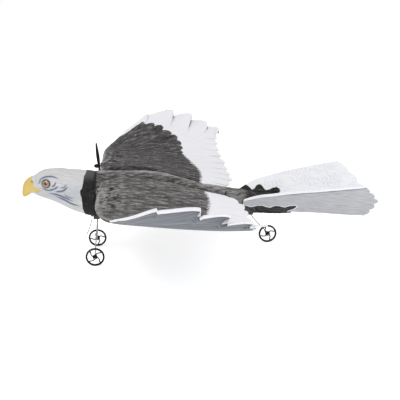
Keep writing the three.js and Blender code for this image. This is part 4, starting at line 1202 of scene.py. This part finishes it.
def turned(profile, sides, centre):
    """A ring about the Y axis whose profile of radius and offset closes on itself."""
    angles = np.linspace(0, 2 * math.pi, sides, endpoint=False)
    c, s = np.cos(angles), np.sin(angles)
    loops = np.array([np.stack([r * c, np.full(sides, y), r * s], 1) for r, y in profile])
    loops = loops + np.array(centre, float)
    faces = grid_faces(len(profile), sides, closed=True)
    last = (len(profile) - 1) * sides
    i = np.arange(sides)
    k = (i + 1) % sides
    return loops.reshape(-1, 3), np.vstack([faces, np.stack([last + i, last + k, k, i], 1)])


def oval(radius, middle_radius, half_width, steps=14):
    angles = np.linspace(0, 2 * math.pi, steps, endpoint=False)
    return [(middle_radius + radius * math.cos(q), half_width * math.sin(q)) for q in angles]


def make_wheel(name, centre, body, node, parked):
    """A moulded wheel: round tyre, ridged rim, a bored hub and S-shaped spokes."""
    inner = WHEEL_RADIUS - WHEEL_RIM
    tyre = oval(WHEEL_RIM / 2, WHEEL_RADIUS - WHEEL_RIM / 2, WHEEL_WIDTH / 2)
    ridge = [(inner + 0.5, -1.5), (inner + 0.5, 1.5), (inner - 0.9, 1.2), (inner - 0.9, -1.2)]
    hub = [(AXLE_BORE, -3.3), (2.4, -3.4), (2.8, -2.6), (WHEEL_HUB, -2.2), (WHEEL_HUB + 0.3, 0),
           (WHEEL_HUB, 2.2), (2.8, 2.6), (2.4, 3.4), (AXLE_BORE, 3.3)]
    parts = [turned(tyre, RIM_SIDES, centre), turned(ridge, RIM_SIDES, centre),
             turned(hub, HUB_SIDES, centre)]
    steps, sides = 22, 10
    for k in range(SPOKES):
        turn = 2 * math.pi * k / SPOKES + parked
        place = np.arange(steps) / (steps - 1)
        radius = WHEEL_HUB - 0.8 + (inner + 0.3 - WHEEL_HUB + 0.8) * place
        bend = turn + SPOKE_SWING * (1 - smoothstep(place, 0.15, 0.8))
        line = np.stack([radius * np.cos(bend), 0 * bend, radius * np.sin(bend)], 1)
        tangent = np.gradient(line, axis=0)
        tangent /= np.linalg.norm(tangent, axis=1)[:, None]
        sideways = np.cross(tangent, (0, 1, 0))
        angles = np.linspace(0, 2 * math.pi, sides, endpoint=False)
        width = 1.35 + 1.1 * np.abs(np.linspace(-1, 1, steps)) ** 4
        rings = [p + w * np.cos(angles)[:, None] * q + 1.0 * np.sin(angles)[:, None] * (0, 1, 0)
                 for p, w, q in zip(line, width, sideways)]
        parts.append((np.vstack(rings) + np.array(centre), tube_faces(steps, sides)))
    mesh_piece(name, *joined(parts), TYRE_BLACK, body=body, slot="wheel_black", replaces=[node])


AXLE = (FRONT_AXLE[0], FRONT_AXLE[2])
TRACK_HALF = 66
for side, sign, parked in (("left", -1, 0.7), ("right", 1, 0.09)):
    make_wheel(f"front_wheel_{side}_moulded", (AXLE[0], sign * TRACK_HALF, AXLE[1]),
               f"front_wheel_{side}_body", f"front_wheel_{side}", parked)
make_wheel("tail_wheel_moulded", TAIL_AXLE, "tail_wheel_body", "tail_wheel", 0.35)

WIRE_RADIUS = 1.25
axle_x, axle_z = AXLE
for side, sign in SIDES.items():
    route = [
        (axle_x + 6, 12, -26), (axle_x + 6, 14, -40), (axle_x + 3, 36, -79), (axle_x, 55.5, -112),
        (axle_x, 58, -115.8), *((axle_x, y, axle_z) for y in (60, 61.5, TRACK_HALF, 76)),
    ]
    wire_tube(f"gear_leg_{side}_wire", [(x, sign * y, z) for x, y, z in route], WIRE_RADIUS, STEEL,
              replaces=[f"gear_leg_{side}"], slot="steel_wire")
TAIL_LEG = [
    (124, 8, -36), (128, 8, -42), (146, 8, -65), (170.5, 8, -91), (173, 7.4, -94.2),
    (173.5, 6, -95), (173.5, 4.8, -95), (173.5, 0, -95), (173.5, -10, -95),
]
wire_tube("tail_gear_wire", TAIL_LEG, WIRE_RADIUS, STEEL, replaces=["tail_gear_leg"],
          slot="steel_wire")


def thrust_place(points, sign):
    """Carries points from the hub's own axes (X back along the shaft) to the level frame."""
    x, y, z = points.T
    c, s = math.cos(-THRUST_DOWN), math.sin(-THRUST_DOWN)
    placed = np.stack([x * c + z * s, y, -x * s + z * c], 1) + (HUB_X, THRUST_Y, THRUST_Z)
    return placed * (1, sign, 1)


def lathe_x(profile, sides=40):
    """Rings about the X axis from radius and place pairs, closed at both ends."""
    angles = np.linspace(0, 2 * math.pi, sides, endpoint=False)
    c, s = np.cos(angles), np.sin(angles)
    loops = [np.stack([np.full(sides, x), r * c, r * s], 1) for r, x in profile]
    return np.vstack(loops), tube_faces(len(profile), sides)


PROP_RADIUS = 62.5
PROP_CHORD = 12.5
BLADE_ROOT = 2.6
BLADE_THICKNESS, BLADE_THINNING = 2.5, 1.7
BLADE_PITCH, BLADE_TWIST = 0.95, 0.62
SPINNER_RADIUS = 5.6
SPINNER_NOSE = 8.6


def blade(turn):
    """One twisted blade with a rounded end, standing on the hub."""
    rows, columns = 44, 28
    loops = []
    angles = np.linspace(0, 2 * math.pi, columns, endpoint=False)
    for k in range(rows):
        place = k / (rows - 1)
        radius = BLADE_ROOT + (PROP_RADIUS - BLADE_ROOT) * (1 - (1 - place) ** 1.15)
        reach = (radius - BLADE_ROOT) / (PROP_RADIUS - BLADE_ROOT)
        chord = PROP_CHORD * (0.40 + 0.60 * math.sin(math.pi * (0.10 + 0.74 * reach)))
        chord *= math.sqrt(max(0.02, 1 - max(0.0, (reach - 0.9) / 0.1) ** 2.2))
        thick = BLADE_THICKNESS - BLADE_THINNING * reach
        pitch = BLADE_PITCH - BLADE_TWIST * reach
        across = chord / 2 * np.cos(angles)
        through = thick / 2 * np.sin(angles) * (0.55 + 0.45 * np.cos(angles))
        through = through + 0.10 * chord * (1 - np.cos(angles) ** 2) * 0.3
        y = across * math.cos(pitch) - through * math.sin(pitch)
        x = across * math.sin(pitch) + through * math.cos(pitch)
        loops.append(np.stack([x, y, np.full(columns, radius)], 1))
    points = np.vstack(loops)
    c, s = math.cos(turn), math.sin(turn)
    x, y, z = points.T
    return np.stack([x, y * c - z * s, y * s + z * c], 1), tube_faces(rows, columns)


def make_propeller(side, sign):
    park = math.pi / 2 if sign < 0 else 0.0
    hub = [(1.6, -4.4), (5.0, -4.4), (5.4, -4.0), (5.4, 2.6), (4.9, 3.2), (1.6, 3.2)]
    points, faces = joined([blade(park), blade(park + math.pi), lathe_x(hub)])
    body = f"propeller_{side}_body"
    mesh_piece(f"propeller_{side}_moulded", thrust_place(points, sign), faces, PROP_BLACK,
               body=body, slot="propeller_black", replaces=[f"propeller_{side}"])
    nose = [(SPINNER_RADIUS * math.cos(q), -4.9 - SPINNER_NOSE * math.sin(q))
            for q in np.linspace(0, math.pi / 2 - 0.02, 26)]
    spin_points, spin_faces = lathe_x([(0.2, -4.8)] + [(r, x) for r, x in nose])
    mesh_piece(f"spinner_{side}_moulded", thrust_place(spin_points, sign), spin_faces, PROP_BLACK,
               body=body, slot="propeller_black", replaces=[f"spinner_{side}"])


for side, sign in SIDES.items():
    make_propeller(side, sign)

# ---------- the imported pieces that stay, each in its finish ----------

KEPT = {
    "rubber_black": (RUBBER, "antenna_grommet wheel_keeper_left wheel_keeper_right"),
    "black_plastic": (BLACK_PLASTIC, "battery_box battery_hatch gear_block motor_mount_left "
                                     "motor_mount_right power_switch_body tail_gear_bracket"),
    "battery_wrap": (WRAP_BLUE, "battery_pack"),
    "steel_wire": (STEEL, "hatch_hinge_pin motor_shaft_left motor_shaft_right"),
    "lead_sleeve": (CABLE_GREY, "motor_lead_left motor_lead_right"),
    "motor_can": (MOTOR_METAL, "motor_left motor_right"),
    "switch_slider": (SWITCH_GREY, "power_switch_slider"),
    "circuit_board": (BOARD_GREEN, "receiver_board"),
    "carbon": (CARBON, "tail_joiner_peg wing_spar"),
}
for slot, (material, names) in KEPT.items():
    for name in names.split():
        node = frame["nodes"][name]
        node.data.materials.clear()
        node.data.materials.append(material)

# ---------- floor and light ----------


FLOOR_HALF = 12.0
FLOOR_GLOW = 0.52


def make_floor():
    look = Look("floor_pale", roughness=0.9, specular=0.1)
    cloud = look.noise(look.place(), 1.5, 2, 0.5)
    look.color(look.mix(cloud, (0.88, 0.88, 0.885, 1), (0.90, 0.90, 0.905, 1)))
    look.shader.inputs["Emission Color"].default_value = (1, 1, 1, 1)
    look.shader.inputs["Emission Strength"].default_value = FLOOR_GLOW
    mesh = bpy.data.meshes.new("floor")
    corners = [(-1, -1), (1, -1), (1, 1), (-1, 1)]
    mesh.from_pydata([(x * FLOOR_HALF, y * FLOOR_HALF, 0) for x, y in corners], [], [(0, 1, 2, 3)])
    mesh.materials.append(look.material)
    floor = bpy.data.objects.new("floor", mesh)
    bpy.context.scene.collection.objects.link(floor)


make_floor()

world = bpy.data.worlds.new("studio")
bpy.context.scene.world = world
world.use_nodes = True
backdrop = world.node_tree.nodes["Background"]
backdrop.inputs["Color"].default_value = (1.0, 1.0, 1.0, 1)
backdrop.inputs["Strength"].default_value = 1.0


def area_light(name, place, target, size, watts):
    data = bpy.data.lights.new(name, "AREA")
    data.shape = "DISK"
    data.size = size
    data.energy = watts
    light = bpy.data.objects.new(name, data)
    light.location = place
    light.rotation_mode = "QUATERNION"
    light.rotation_quaternion = (Vector(target) - Vector(place)).to_track_quat("-Z", "Y")
    bpy.context.scene.collection.objects.link(light)


LIT_POINT = (0, 0, 0.15)
area_light("key", (-0.9, -1.2, 2.5), LIT_POINT, 1.6, 26)
area_light("fill", (1.4, -1.2, 1.2), LIT_POINT, 1.4, 6)
bpy.context.scene.view_settings.view_transform = "Standard"
